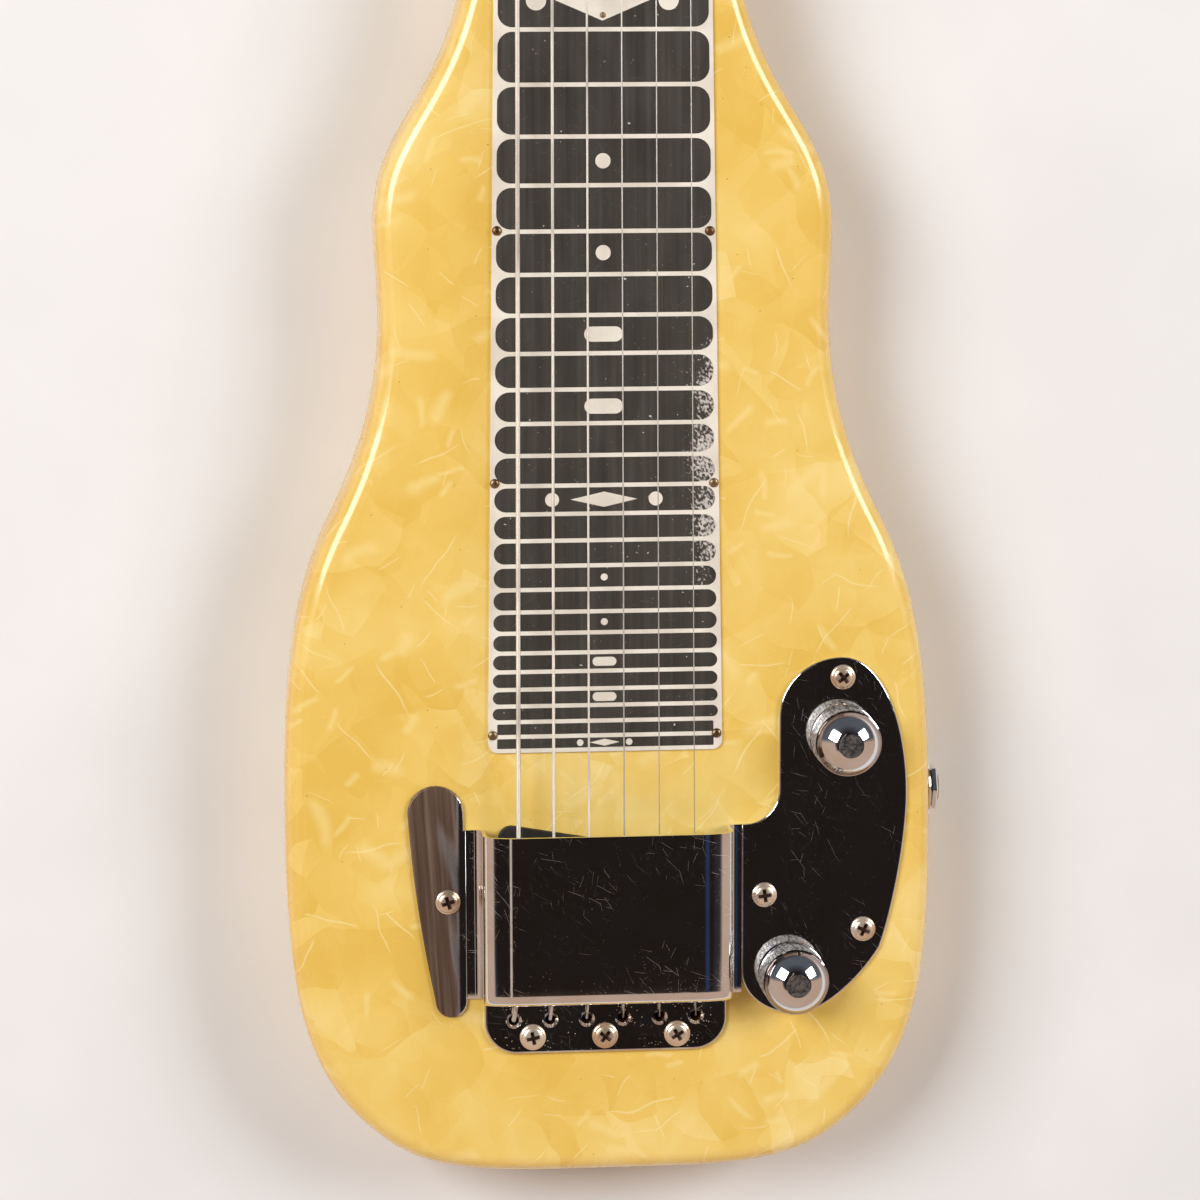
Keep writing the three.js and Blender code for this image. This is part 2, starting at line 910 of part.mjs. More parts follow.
function anchorPlate() {
  const shape = roundedRectangle(2 * anchor.half, anchor.width, anchor.cornerRadius);
  const flat = upright(shape, 0, anchor.thickness, segments.corner);
  const base = flat.translate([strings.centreX, bridge.holeY, 0]);
  const cupRadius = strings.ballRadius + clearance.seat;
  const cupTop = anchor.thickness - anchor.shoulder;
  const cups = stringHoles.map(({ x, y }) => (
    cylinder(cupRadius, -clearance.overrun, cupTop, x, y, segments.hole)
  ));
  const holes = stringHoles.map(({ x, y }) => (
    cylinder(anchor.stringHoleRadius, 0, body.thickness, x, y, segments.small)
  ));
  return cut(base, [...cups, ...holes]);
}

// Strings: up from the anchor, over the ridge and the nut, and round the post

function windingPoints(post, diameter, entry) {
  const radius = tuner.postRadius + diameter / 2 + clearance.seat;
  const pitch = diameter + winding.gap;
  const steps = Math.round(winding.turns * winding.stepsPerTurn);
  const start = post.side < 0 ? 0 : Math.PI;
  const points = [];
  for (let i = 0; i <= steps; i += 1) {
    const turns = i / winding.stepsPerTurn;
    const angle = start - post.side * 2 * Math.PI * turns;
    const x = post.x + radius * Math.cos(angle);
    const y = post.y + radius * Math.sin(angle);
    points.push(new THREE.Vector3(x, y, entry - pitch * turns));
  }
  return points;
}

function leastGap(points, radius) {
  let least = Infinity;
  for (let i = 0; i < points.length; i += 1) {
    for (let j = i + winding.stepsPerTurn / 2; j < points.length; j += 1) {
      least = Math.min(least, points[i].distanceTo(points[j]) - 2 * radius);
    }
  }
  return least;
}

function stringPiece(index, post) {
  const diameter = strings.diameters[index];
  const radius = diameter / 2;
  const hole = stringHoles[index];
  const ridge = new THREE.Vector3(stringOffset(index, strings.bridgePitch), 0, bridgeStringHeight);
  const atNut = new THREE.Vector3(
    stringOffset(index, strings.nutPitch),
    scaleLength + clearance.seat + nut.length,
    nutStringHeight,
  );
  const ballLow = clearance.seat;
  const ballTop = ballLow + strings.ballLength;
  const bendLow = bridgeTop - strings.bendDrop;
  const mouth = new THREE.Vector3(hole.x, hole.y + radius / 2, bridgeTop);
  const away = ridge.clone().sub(mouth).setLength(strings.bendRise);
  const coil = windingPoints(post, diameter, head.faceHeight + tuner.windingRise);
  const points = [
    new THREE.Vector3(hole.x, hole.y, ballLow),
    new THREE.Vector3(hole.x, hole.y, ballTop),
    new THREE.Vector3(hole.x, hole.y, ballTop + clearance.seat),
    new THREE.Vector3(hole.x, hole.y, bendLow),
    mouth,
    mouth.clone().add(away),
    ridge,
    atNut,
    ...coil,
  ];
  const radii = points.map((_, i) => (i < 2 ? strings.ballRadius : radius));
  const gap = leastGap(coil, radius);
  console.log(`string ${index + 1} winding: least gap to itself ${gap.toFixed(2)} mm`);
  return sweep(points, radii, winding.sides);
}

// Chrome cover: hump, ear and control plate pressed from one sheet

const ogeeShares = { base: 0.42, crest: 0.48 };

function ogee(baseX, crestX) {
  const run = crestX - baseX;
  return new THREE.CubicBezierCurve(
    new THREE.Vector2(baseX, plateTop),
    new THREE.Vector2(baseX + run * ogeeShares.base, plateTop),
    new THREE.Vector2(crestX - run * ogeeShares.crest, coverTop),
    new THREE.Vector2(crestX, coverTop),
  );
}

// The hollow starts one step in, which leaves a flat foot on the face

function wallPoints(curve, side, inset) {
  const steps = segments.hole;
  const points = [];
  for (let i = inset > 0 ? 1 : 0; i <= steps; i += 1) {
    const point = curve.getPoint(i / steps);
    const along = curve.getTangent(i / steps);
    points.push([point.x + side * along.y * inset, point.y - side * along.x * inset]);
  }
  return points;
}

function humpSection(inset) {
  const points = [
    ...wallPoints(ogee(cover.leftBaseX, cover.leftTopX), 1, inset),
    ...wallPoints(ogee(cover.rightBaseX, cover.rightTopX), -1, inset).reverse(),
  ];
  const floor = inset > 0 ? faceHeight - clearance.overrun : faceHeight;
  const first = points[0];
  const last = points[points.length - 1];
  return polygon([[first[0], floor], ...points, [last[0], floor]]);
}

function humpProfile(inset) {
  const radius = cover.rearRadius - inset;
  const rear = cover.rearY + inset;
  const top = coverTop - inset;
  const front = cover.frontY + (inset > 0 ? clearance.overrun : 0);
  const floor = inset > 0 ? faceHeight - clearance.overrun : faceHeight;
  const shape = new THREE.Shape();
  shape.moveTo(front, floor);
  shape.lineTo(front, top);
  shape.lineTo(rear + radius, top);
  shape.absarc(rear + radius, top - radius, radius, Math.PI / 2, Math.PI);
  shape.lineTo(rear, floor);
  return shape;
}

function hump(inset) {
  const front = cover.frontY + clearance.overrun;
  const section = alongY(humpSection(inset), cover.rearY - clearance.overrun, front);
  return section.intersect(alongX(humpProfile(inset), cover.leftBaseX, cover.rightBaseX));
}

function earShape() {
  const innerX = cover.leftBaseX + cover.weldOverlap;
  const topX = ear.outerX + ear.topRadius;
  const topY = ear.tipY - ear.topRadius;
  const lowX = innerX - ear.bottomRadius;
  const lowY = ear.bottomY + ear.bottomRadius;
  const middleX = (ear.outerX + lowX - ear.bottomRadius) / 2 - ear.bulge;
  const shape = new THREE.Shape();
  shape.moveTo(innerX, lowY);
  shape.lineTo(innerX, cover.frontY);
  shape.lineTo(topX + ear.topRadius, cover.frontY);
  shape.absarc(topX, topY, ear.topRadius, 0, Math.PI);
  shape.quadraticCurveTo(middleX, (topY + lowY) / 2, lowX - ear.bottomRadius, lowY);
  shape.absarc(lowX, lowY, ear.bottomRadius, Math.PI, 2 * Math.PI);
  return shape;
}

const bend = 0.56;

function quarter(shape, from, to, leavesAlongX) {
  const leave = leavesAlongX ? [(to[0] - from[0]) * bend, 0] : [0, (to[1] - from[1]) * bend];
  const arrive = leavesAlongX ? [0, (to[1] - from[1]) * bend] : [(to[0] - from[0]) * bend, 0];
  shape.bezierCurveTo(
    from[0] + leave[0],
    from[1] + leave[1],
    to[0] - arrive[0],
    to[1] - arrive[1],
    to[0],
    to[1],
  );
}

function controlPlateShape() {
  const innerX = cover.rightBaseX - cover.weldOverlap;
  const inletX = plate.innerX - plate.inletRadius;
  const dropX = plate.outerX - plate.lowerX;
  const dropY = plate.outerY - plate.lowerY;
  const footX = plate.lowerX - plate.bottomX;
  const footY = plate.lowerY - plate.bottomY;
  const shape = new THREE.Shape();
  shape.moveTo(innerX, plate.heelY);
  shape.lineTo(innerX, cover.frontY);
  shape.lineTo(inletX, cover.frontY);
  shape.absarc(inletX, cover.frontY + plate.inletRadius, plate.inletRadius, -Math.PI / 2, 0);
  shape.lineTo(plate.innerX, plate.archY);
  quarter(shape, [plate.innerX, plate.archY], [plate.apexX, plate.apexY], false);
  quarter(shape, [plate.apexX, plate.apexY], [plate.outerX, plate.outerY], true);
  shape.bezierCurveTo(
    plate.outerX,
    plate.outerY - (dropY * bend) / 2,
    plate.lowerX + dropX * bend,
    plate.lowerY + (dropY * bend) / 2,
    plate.lowerX,
    plate.lowerY,
  );
  shape.bezierCurveTo(
    plate.lowerX - (footX * bend) / 2,
    plate.lowerY - footY * bend,
    plate.bottomX + (footX * bend) / 2,
    plate.bottomY,
    plate.bottomX,
    plate.bottomY,
  );
  quarter(shape, [plate.bottomX, plate.bottomY], [innerX, plate.heelY], true);
  return shape;
}

function pickupCover() {
  const mouthHalf = bridge.tongueHalf + clearance.seat;
  const mouth = box(
    bridgeCentreX - mouthHalf,
    bridgeCentreX + mouthHalf,
    cover.rearY - clearance.overrun,
    cover.rearY + cover.rearRadius,
    faceHeight - clearance.overrun,
    faceHeight + cover.mouthHeight,
  );
  const shell = cut(hump(0), [hump(cover.sheet), mouth]);
  const flats = [earShape(), controlPlateShape()].map((shape) => (
    upright(shape, faceHeight, plateTop, segments.outline)
  ));
  const top = plateTop + clearance.overrun;
  const screwRadius = screw.shankRadius + clearance.seat;
  const places = [...plateScrews, { x: coverScrews.earX, y: coverScrews.earY }];
  const screwHoles = places.map(({ x, y }) => cylinder(screwRadius, 0, top, x, y, segments.hole));
  const potRadius = pot.bushingRadius + clearance.seat;
  const potHoles = [volume, tone].map(({ x, y }) => cylinder(potRadius, 0, top, x, y, segments.round));
  return cut(joined([shell, ...flats]), [...screwHoles, ...potHoles]);
}

// Pickup

function pickupPieces() {
  const place = (solid) => solid.rotate([0, 0, -pickup.skewDegrees]).translate([0, pickup.centreY, 0]);
  const block = (length, width, radius, low, high) => (
    upright(roundedRectangle(length, width, radius), low, high, segments.corner)
  );
  const seat = clearance.seat;
  const corner = pickup.flangeCorner;
  const coreCorner = pickup.coreWidth / 3;
  const flangeLow = faceHeight + seat;
  const flangeTop = flangeLow + pickup.flangeThickness;
  const lowerTop = pickup.lowerFlangeHeight + pickup.flangeThickness;
  const coilLow = lowerTop + seat;
  const coilTop = flangeLow - seat;
  const magnetLow = pickup.pocketFloor + seat;
  const magnetTop = magnetLow + pickup.magnetHeight;
  const bladeTop = flangeTop + pickup.bladeReach;
  const bladeHalf = pickup.bladeLength / 2;
  const bladeSide = pickup.bladeThickness / 2;
  const magnetSide = pickup.magnetWidth / 2;
  const slotHalf = bladeHalf + seat;
  const slotSide = bladeSide + seat;
  const innerLength = pickup.coreLength + 2 * seat;
  const innerWidth = pickup.coreWidth + 2 * seat;
  const wall = 2 * pickup.coilWall;
  const lowerLength = pickup.pocketLength - 2 * seat;
  const lowerWidth = pickup.pocketWidth - 2 * seat;
  const flange = block(pickup.flangeLength, pickup.flangeWidth, corner, flangeLow, flangeTop);
  const core = block(pickup.coreLength, pickup.coreWidth, coreCorner, pickup.lowerFlangeHeight, flangeTop);
  const lower = block(lowerLength, lowerWidth, corner, pickup.lowerFlangeHeight, lowerTop);
  const slot = box(-slotHalf, slotHalf, -slotSide, slotSide, 0, coverTop);
  const coil = block(innerLength + wall, innerWidth + wall, corner, coilLow, coilTop);
  const coilHollow = block(innerLength, innerWidth, coreCorner, 0, coverTop);
  return {
    bobbin: place(cut(joined([flange, core, lower]), [slot])),
    coil: place(coil.subtract(coilHollow)),
    blade: place(box(-bladeHalf, bladeHalf, -bladeSide, bladeSide, magnetTop + seat, bladeTop)),
    magnet: place(box(-bladeHalf, bladeHalf, -magnetSide, magnetSide, magnetLow, magnetTop)),
  };
}

// Screws, with a domed head whose flat underside meets the sheet

const headShares = { crownRadius: 0.7, crownHeight: 0.85 };

function screwSolid(headRadius, height, x, y) {
  const profile = [
    [0, -screw.length],
    [screw.shankRadius, -screw.length + screw.tipLength],
    [screw.shankRadius, 0],
    [headRadius, 0],
    [headRadius, screw.headRim],
    [headRadius * headShares.crownRadius, screw.headHeight * headShares.crownHeight],
    [0, screw.headHeight],
  ];
  return turned(profile, segments.shaft).translate(x, y, height);
}

// Controls: potentiometer, its nut, its shaft and the knob

function potentiometer(place, turn) {
  const top = faceHeight - clearance.seat;
  const boreLow = potLow + pot.shaftInset - clearance.seat;
  const housing = cylinder(pot.radius, potLow, top, 0, 0, segments.round);
  const bushing = cylinder(pot.bushingRadius, potLow, plateTop + pot.bushingReach, 0, 0, segments.round);
  const bore = cylinder(pot.shaftRadius + clearance.seat, boreLow, coverTop, 0, 0, segments.shaft);
  const half = pot.tabWidth / 2;
  const tabs = spread(pot.tabCount, pot.tabPitch).map((y) => (
    box(0, pot.radius + pot.tabReach, y - half, y + half, potLow, potLow + pot.tabThickness)
  ));
  const whole = cut(joined([housing, bushing, ...tabs]), [bore]);
  return whole.rotate([0, 0, THREE.MathUtils.radToDeg(turn)]).translate([place.x, place.y, 0]);
}

function hexagonNut(radius, height, hole) {
  const geometry = new THREE.CylinderGeometry(radius, radius, height, segments.small);
  return solidOf(geometry.rotateX(Math.PI / 2).translate(0, 0, height / 2))
    .subtract(cylinder(hole, -clearance.overrun, height + clearance.overrun, 0, 0, segments.round));
}

const knobShares = { shoulderRadius: 0.9, shoulderRise: 0.55, crownRadius: 0.68, crownRise: 0.88 };

function knobGeometry() {
  const inner = knob.barrelRadius - knob.wall;
  const bore = pot.shaftRadius + clearance.seat;
  const roof = knob.height - knob.wall - knob.dimpleDepth;
  const bossFoot = pot.bushingReach + pot.nutHeight / 2;
  const dome = knob.height - knob.barrelHeight;
  return turned([
    [0, knob.boreDepth + bossFoot - knob.lift],
    [bore, knob.boreDepth + bossFoot - knob.lift],
    [bore, bossFoot],
    [knob.bossRadius, bossFoot],
    [knob.bossRadius, roof - knob.wall],
    [inner, knob.barrelHeight - knob.wall],
    [inner, 0],
    [knob.skirtRadius, 0],
    [knob.skirtRadius, knob.skirtHeight],
    [knob.barrelRadius, knob.skirtHeight + clearance.seat],
    [knob.barrelRadius, knob.barrelHeight],
    [knob.barrelRadius * knobShares.shoulderRadius, knob.barrelHeight + dome * knobShares.shoulderRise],
    [knob.barrelRadius * knobShares.crownRadius, knob.barrelHeight + dome * knobShares.crownRise],
    [knob.dimpleRadius, knob.height],
    [0, knob.height - knob.dimpleDepth],
  ]);
}

// Output jack, lying along X in the treble side

function jackPieces() {
  const washerLow = sideX + clearance.seat;
  const nutLow = washerLow + jack.washerHeight + clearance.seat;
  const sleeveEnd = nutLow + jack.nutHeight + jack.sleeveProud;
  const flangeHigh = jackBayX - clearance.seat;
  const flangeLow = flangeHigh - jack.flangeThickness;
  const hole = jack.sleeveRadius + clearance.seat;
  const lay = (geometry, x) => geometry.rotateY(Math.PI / 2).translate(x, jack.y, jack.height);
  const washer = lay(turned([
    [hole, 0],
    [jack.washerRadius, 0],
    [jack.washerRadius, jack.washerRim],
    [jack.nutRadius, jack.washerHeight],
    [hole, jack.washerHeight],
    [hole, 0],
  ], segments.smooth), washerLow);
  const nutSolid = hexagonNut(jack.nutRadius, jack.nutHeight, hole);
  const onJack = (radius, end) => (
    cylinderAlongX(radius, flangeLow, end, jack.y, jack.height, segments.round)
  );
  const sleeve = onJack(jack.sleeveRadius, sleeveEnd);
  const flange = onJack(jack.flangeRadius, flangeHigh);
  const boreEnd = sleeveEnd + clearance.overrun;
  const bore = cylinderAlongX(jack.boreRadius, 0, boreEnd, jack.y, jack.height, segments.shaft);
  const halfWidth = jack.springWidth / 2;
  const springLow = jack.height - jack.springOffset - jack.springThickness;
  const spring = box(
    flangeLow - jack.springLength,
    flangeLow + jack.flangeThickness / 2,
    jack.y - halfWidth,
    jack.y + halfWidth,
    springLow,
    springLow + jack.springThickness,
  );
  return {
    washer,
    nut: nutSolid.rotate([0, 90, 0]).translate([nutLow, jack.y, jack.height]),
    socket: joined([sleeve, flange]).subtract(bore).add(spring),
  };
}

// Wiring inside the cavity

function wire(points, radius, sides) {
  const places = points.map((point) => new THREE.Vector3(...point));
  return sweep(places, places.map(() => radius), sides);
}

function curved(points, steps) {
  const curve = new THREE.CatmullRomCurve3(points.map((point) => new THREE.Vector3(...point)));
  return curve.getPoints(steps).map((point) => point.toArray());
}

function wiring() {
  const low = potLow - lead.radius - clearance.seat;
  const tab = pot.radius + pot.tabReach / 2;
  const length = corridor.length();
  const half = length / 2;
  const coilEnd = pickup.coreLength / 2 + pickup.coilWall + lead.radius + 2 * clearance.seat;
  const channelHeight = cavity.channelFloor + lead.radius + clearance.seat;
  const jackEnd = jackSpringEnd - lead.radius - 2 * clearance.seat;
  const floor = cavity.floor + lead.sag;
  const springHeight = jack.height - jack.springOffset;
  const crossing = tone.x + ((volume.x - tone.x) * (jack.y - tone.y)) / (volume.y - tone.y);
  const turnX = Math.min(crossing, jackEnd - 2 * lead.radius);
  return {
    pickup: wire(curved([
      [coilEnd, cavity.channelY - clearance.seat, channelHeight],
      [(coilEnd + tone.x) / 2, cavity.channelY, channelHeight],
      inCorridor(half, lead.spread, channelHeight - clearance.seat),
      inCorridor(length - tab - pot.tabReach, 0, low),
      inCorridor(length - tab, 0, low),
    ], lead.steps), lead.radius, lead.sides),
    jack: wire(curved([
      [jackEnd, jack.y, springHeight],
      [turnX, jack.y, springHeight],
      inCorridor(half, -lead.spread, floor),
      inCorridor(half / 2, -lead.spread, floor + lead.sag),
      inCorridor(tab, -pot.tabPitch, low),
    ], lead.steps), lead.radius, lead.sides),
    link: wire(curved([
      inCorridor(tab, pot.tabPitch, low),
      inCorridor(half / 2, lead.spread, low - lead.sag),
      inCorridor(half, lead.spread, low - lead.sag),
      inCorridor(length - tab, pot.tabPitch, low),
    ], lead.steps), lead.radius, lead.sides),
  };
}

// A round capacitor hanging by its own leads under the tone potentiometer's middle tab

function toneCapacitor() {
  const height = potLow - capacitor.drop;
  const start = pot.radius + pot.tabReach + capacitor.leadLength;
  const end = start + capacitor.length;
  const tip = capacitor.leadRadius + clearance.seat;
  const run = [
    [pot.radius + pot.tabReach / 2, potLow - tip, capacitor.leadRadius],
    [start - capacitor.leadLength / 2, height, capacitor.leadRadius],
    [start, height, capacitor.leadRadius],
    [start + tip, height, capacitor.radius],
    [end - tip, height, capacitor.radius],
    [end, height, capacitor.leadRadius],
    [end + capacitor.leadLength, height, capacitor.leadRadius],
  ];
  const points = run.map(([along, level]) => new THREE.Vector3(...inCorridor(along, 0, level)));
  return sweep(points, run.map(([, , radius]) => radius), segments.coarse);
}

// Tuners

const gearHeight = head.backHeight - tuner.gearDrop;
const toothPitch = (2 * Math.PI * tuner.gearPitchRadius) / tuner.gearTeeth;
const leadSlope = toothPitch / (2 * Math.PI * tuner.wormPitchRadius);
const centreDistance = tuner.gearPitchRadius + tuner.wormPitchRadius;
const toothShares = { gearRoot: 0.36, gearTip: 0.12, wormRoot: 0.34, wormTip: 0.1 };

function gearGeometry() {
  const outer = tuner.gearPitchRadius + tuner.addendum;
  const root = tuner.gearPitchRadius - tuner.dedendum;
  const step = (2 * Math.PI) / tuner.gearTeeth;
  const profile = [];
  for (let i = 0; i < tuner.gearTeeth; i += 1) {
    profile.push([root, (i - toothShares.gearRoot) * step]);
    profile.push([outer, (i - toothShares.gearTip) * step]);
    profile.push([outer, (i + toothShares.gearTip) * step]);
    profile.push([root, (i + toothShares.gearRoot) * step]);
  }
  const twist = (tuner.gearThickness * leadSlope) / tuner.gearPitchRadius;
  const positions = [];
  for (const level of [-0.5, 0.5]) {
    for (const [radius, angle] of profile) {
      const turn = angle + twist * level;
      positions.push(radius * Math.cos(turn), radius * Math.sin(turn), level * tuner.gearThickness);
    }
  }
  positions.push(0, 0, -tuner.gearThickness / 2, 0, 0, tuner.gearThickness / 2);
  const count = profile.length;
  const indices = [];
  for (let i = 0; i < count; i += 1) {
    const j = (i + 1) % count;
    indices.push(i, j, count + j, i, count + j, count + i);
    indices.push(2 * count, j, i, 2 * count + 1, count + i, count + j);
  }
  const geometry = new THREE.BufferGeometry();
  geometry.setAttribute('position', new THREE.Float32BufferAttribute(positions, 3));
  geometry.setIndex(indices);
  return geometry;
}

// The worm's thread is a helical strip whose ridge faces the gear at the middle of its length

function threadGeometry() {
  const root = tuner.wormPitchRadius - tuner.dedendum;
  const tip = tuner.wormPitchRadius + tuner.addendum;
  const buried = root - tuner.dedendum / 2;
  const profile = [
    [buried, -toothShares.wormRoot * toothPitch],
    [tip, -toothShares.wormTip * toothPitch],
    [tip, toothShares.wormTip * toothPitch],
    [buried, toothShares.wormRoot * toothPitch],
  ];
  const steps = tuner.wormTurns * tuner.wormSteps;
  const sides = profile.length;
  const positions = [];
  for (let i = 0; i <= steps; i += 1) {
    const turns = i / tuner.wormSteps - tuner.wormTurns / 2;
    const angle = 2 * Math.PI * turns;
    for (const [radius, x] of profile) {
      positions.push(x + turns * toothPitch, radius * Math.cos(angle), radius * Math.sin(angle));
    }
  }
  const indices = [];
  for (let i = 0; i < steps; i += 1) {
    for (let k = 0; k < sides; k += 1) {
      const a = i * sides + k;
      const b = i * sides + ((k + 1) % sides);
      indices.push(a, a + sides, b, b, a + sides, b + sides);
    }
  }
  const end = steps * sides;
  indices.push(0, 1, 2, 0, 2, 3, end, end + 2, end + 1, end, end + 3, end + 2);
  const geometry = new THREE.BufferGeometry();
  geometry.setAttribute('position', new THREE.Float32BufferAttribute(positions, 3));
  geometry.setIndex(indices);
  return geometry;
}

const earNear = tuner.wormTurns * toothPitch * 0.5 + toothPitch / 2 + tuner.earGap;
const earFar = earNear + tuner.earThickness;

function postSolid(post) {
  const gearLow = gearHeight - tuner.gearThickness / 2;
  const shank = solidOf(turned([
    [0, gearLow],
    [tuner.postRadius, gearLow],
    [tuner.postRadius, postTop - tuner.capHeight],
    [tuner.capRadius, postTop - tuner.capHeight],
    [tuner.capRadius, postTop - tuner.capHeight / 2],
    [tuner.postRadius, postTop],
    [0, postTop],
  ], segments.shaft));
  const eyeLength = 2 * tuner.capRadius + clearance.overrun;
  const radius = tuner.eyeRadius;
  const eye = solidOf(new THREE.CylinderGeometry(radius, radius, eyeLength, segments.small));
  const eyeHeight = postTop - 2 * tuner.capHeight;
  const gear = solidOf(gearGeometry()).translate([0, 0, gearHeight]);
  return cut(shank.add(gear), [eye.translate([0, 0, eyeHeight])]).translate([post.x, post.y, 0]);
}

// Along X from the worm at the post out to the button

function keySolid(post) {
  const root = tuner.wormPitchRadius - tuner.dedendum;
  const sides = segments.hole;
  const tip = tuner.keyReach + button.socketDepth;
  const rod = cylinderAlongX(root, -earFar - tuner.collarLength / 2, earFar, 0, 0, sides);
  const stem = cylinderAlongX(tuner.shaftRadius, earNear - tuner.earGap, tip, 0, 0, sides);
  const collarLeft = earFar + clearance.seat;
  const collarRight = collarLeft + tuner.collarLength;
  const collar = cylinderAlongX(tuner.collarRadius, collarLeft, collarRight, 0, 0, sides);
  const key = joined([rod, stem, collar, solidOf(threadGeometry())]);
  const facing = post.side > 0 ? key : key.rotate([0, 0, 180]);
  return facing.translate([post.x, post.y - post.side * centreDistance, gearHeight]);
}

function buttonSolid(post) {
  const shape = new THREE.SphereGeometry(button.unitRadius, segments.coarse, segments.small);
  shape.scale(button.length, button.thickness, button.width);
  const knobX = tuner.keyReach + button.length / 2;
  const socketEnd = tuner.keyReach + button.socketDepth + clearance.seat;
  const socket = cylinderAlongX(tuner.shaftRadius + clearance.seat, 0, socketEnd, 0, 0, segments.hole);
  const whole = solidOf(shape).translate([knobX, 0, 0]).subtract(socket);
  const facing = post.side > 0 ? whole : whole.rotate([0, 0, 180]);
  return facing.translate([post.x, post.y - post.side * centreDistance, gearHeight]);
}

function tunerStrip(side) {
  const posts = postPlaces.filter((post) => post.side === side);
  const wormY = posts.map((post) => post.y - side * centreDistance);
  const top = head.backHeight;
  const low = top - tuner.stripThickness;
  const rear = Math.min(...wormY, ...posts.map((post) => post.y)) - tuner.stripEndMargin;
  const front = Math.max(...wormY, ...posts.map((post) => post.y)) + tuner.stripEndMargin;
  const x = side * tuner.postX;
  const left = x - (side > 0 ? tuner.stripInnerReach : tuner.stripOuterReach);
  const right = x + (side > 0 ? tuner.stripOuterReach : tuner.stripInnerReach);
  const sheet = box(left, right, rear, front, low, top);
  const earLow = gearHeight - tuner.shaftRadius - tuner.earThickness;
  const ears = wormY.flatMap((y) => [-1, 1].map((end) => {
    const near = x + end * earNear;
    const far = x + end * earFar;
    const half = tuner.earHalfWidth;
    const earTop = low + tuner.stripThickness / 2;
    return box(Math.min(near, far), Math.max(near, far), y - half, y + half, earLow, earTop);
  }));
  const shaftRadius = tuner.shaftRadius + clearance.seat;
  const shaftHoles = wormY.map((y) => (
    cylinderAlongX(shaftRadius, left - earFar, right + earFar, y, gearHeight, segments.hole)
  ));
  const postRadius = tuner.postRadius + clearance.seat;
  const postHoles = posts.map((post) => cylinder(postRadius, 0, body.thickness, post.x, post.y));
  return cut(joined([sheet, ...ears]), [...shaftHoles, ...postHoles]);
}

// Assembly

const guitar = new THREE.Group();

function addPiece(name, shape, material) {
  const geometry = shape.isBufferGeometry ? shape : geometryOf(shape);
  const mesh = new THREE.Mesh(geometry, material);
  mesh.name = name;
  guitar.add(mesh);
  return mesh;
}

function addBody() {
  const wooden = woodenPieces();
  addPiece('body_core', wooden.core, finishes.wood);
  addPiece('front_covering', wooden.frontCovering, finishes.pearloid);
  addPiece('back_covering', wooden.backCovering, finishes.pearloid);
  addPiece('fretboard_plate', fretboardPlate(), finishes.boardMetal);
  addPiece('nut', nutBar(), finishes.brass);
}

function addHardware() {
  addPiece('bridge_plate', bridgePlate(), finishes.chrome);
  addPiece('string_anchor_plate', anchorPlate(), finishes.steel);
  addPiece('pickup_cover', pickupCover(), finishes.chrome);
  const earScrew = screwSolid(screw.headRadius, plateTop, coverScrews.earX, coverScrews.earY);
  addPiece('cover_screw', earScrew, finishes.steel);
  plateScrews.forEach(({ x, y }, i) => {
    addPiece(`plate_screw_${i + 1}`, screwSolid(screw.headRadius, plateTop, x, y), finishes.steel);
  });
  bridgeScrews.forEach(({ x, y }, i) => {
    addPiece(`bridge_screw_${i + 1}`, screwSolid(screw.bridgeHeadRadius, bridgeTop, x, y), finishes.steel);
  });
}

function addPickup() {
  const pieces = pickupPieces();
  addPiece('pickup_bobbin', pieces.bobbin, finishes.fibre);
  addPiece('pickup_coil', pieces.coil, finishes.copper);
  addPiece('pickup_blade', pieces.blade, finishes.steel);
  addPiece('pickup_magnet', pieces.magnet, finishes.magnet);
}

function addControl(name, place, turn) {
  addPiece(`${name}_pot`, potentiometer(place, turn), finishes.steel);
  const nutHole = pot.bushingRadius + clearance.seat;
  const potNut = hexagonNut(pot.nutRadius, pot.nutHeight, nutHole).translate([place.x, place.y, plateTop]);
  addPiece(`${name}_pot_nut`, potNut, finishes.brass);
  const shaftLow = potLow + pot.shaftInset;
  const shaftTop = plateTop + pot.bushingReach + pot.nutHeight / 2 + knob.boreDepth - clearance.seat;
  const shaft = cylinder(pot.shaftRadius, shaftLow, shaftTop, place.x, place.y, segments.shaft);
  addPiece(`${name}_shaft`, shaft, finishes.brass);
  const cap = addPiece(`${name}_knob`, knobGeometry(), finishes.chrome);
  cap.position.set(place.x, place.y, plateTop + knob.lift);
}

function addWiring() {
  const leads = wiring();
  addPiece('pickup_lead', leads.pickup, finishes.insulation);
  addPiece('jack_lead', leads.jack, finishes.insulation);
  addPiece('pot_link_lead', leads.link, finishes.insulation);
  addPiece('tone_capacitor', toneCapacitor(), finishes.capacitor);
}

function addJack() {
  const pieces = jackPieces();
  addPiece('jack_washer', pieces.washer, finishes.chrome);
  addPiece('jack_nut', pieces.nut, finishes.chrome);
  addPiece('jack_socket', pieces.socket, finishes.brass);
}

function addTuners() {
  addPiece('bass_tuner_strip', tunerStrip(-1), finishes.steel);
  addPiece('treble_tuner_strip', tunerStrip(1), finishes.steel);
  const order = [...postPlaces.slice(0, tuner.perSide), ...postPlaces.slice(tuner.perSide).reverse()];
  order.forEach((post, i) => {
    addPiece(`tuner_post_${i + 1}`, postSolid(post), finishes.steel);
    addPiece(`tuner_key_${i + 1}`, keySolid(post), finishes.steel);
    addPiece(`tuner_button_${i + 1}`, buttonSolid(post), finishes.button);
    addPiece(`string_${i + 1}`, stringPiece(i, post), finishes.wire);
  });
}

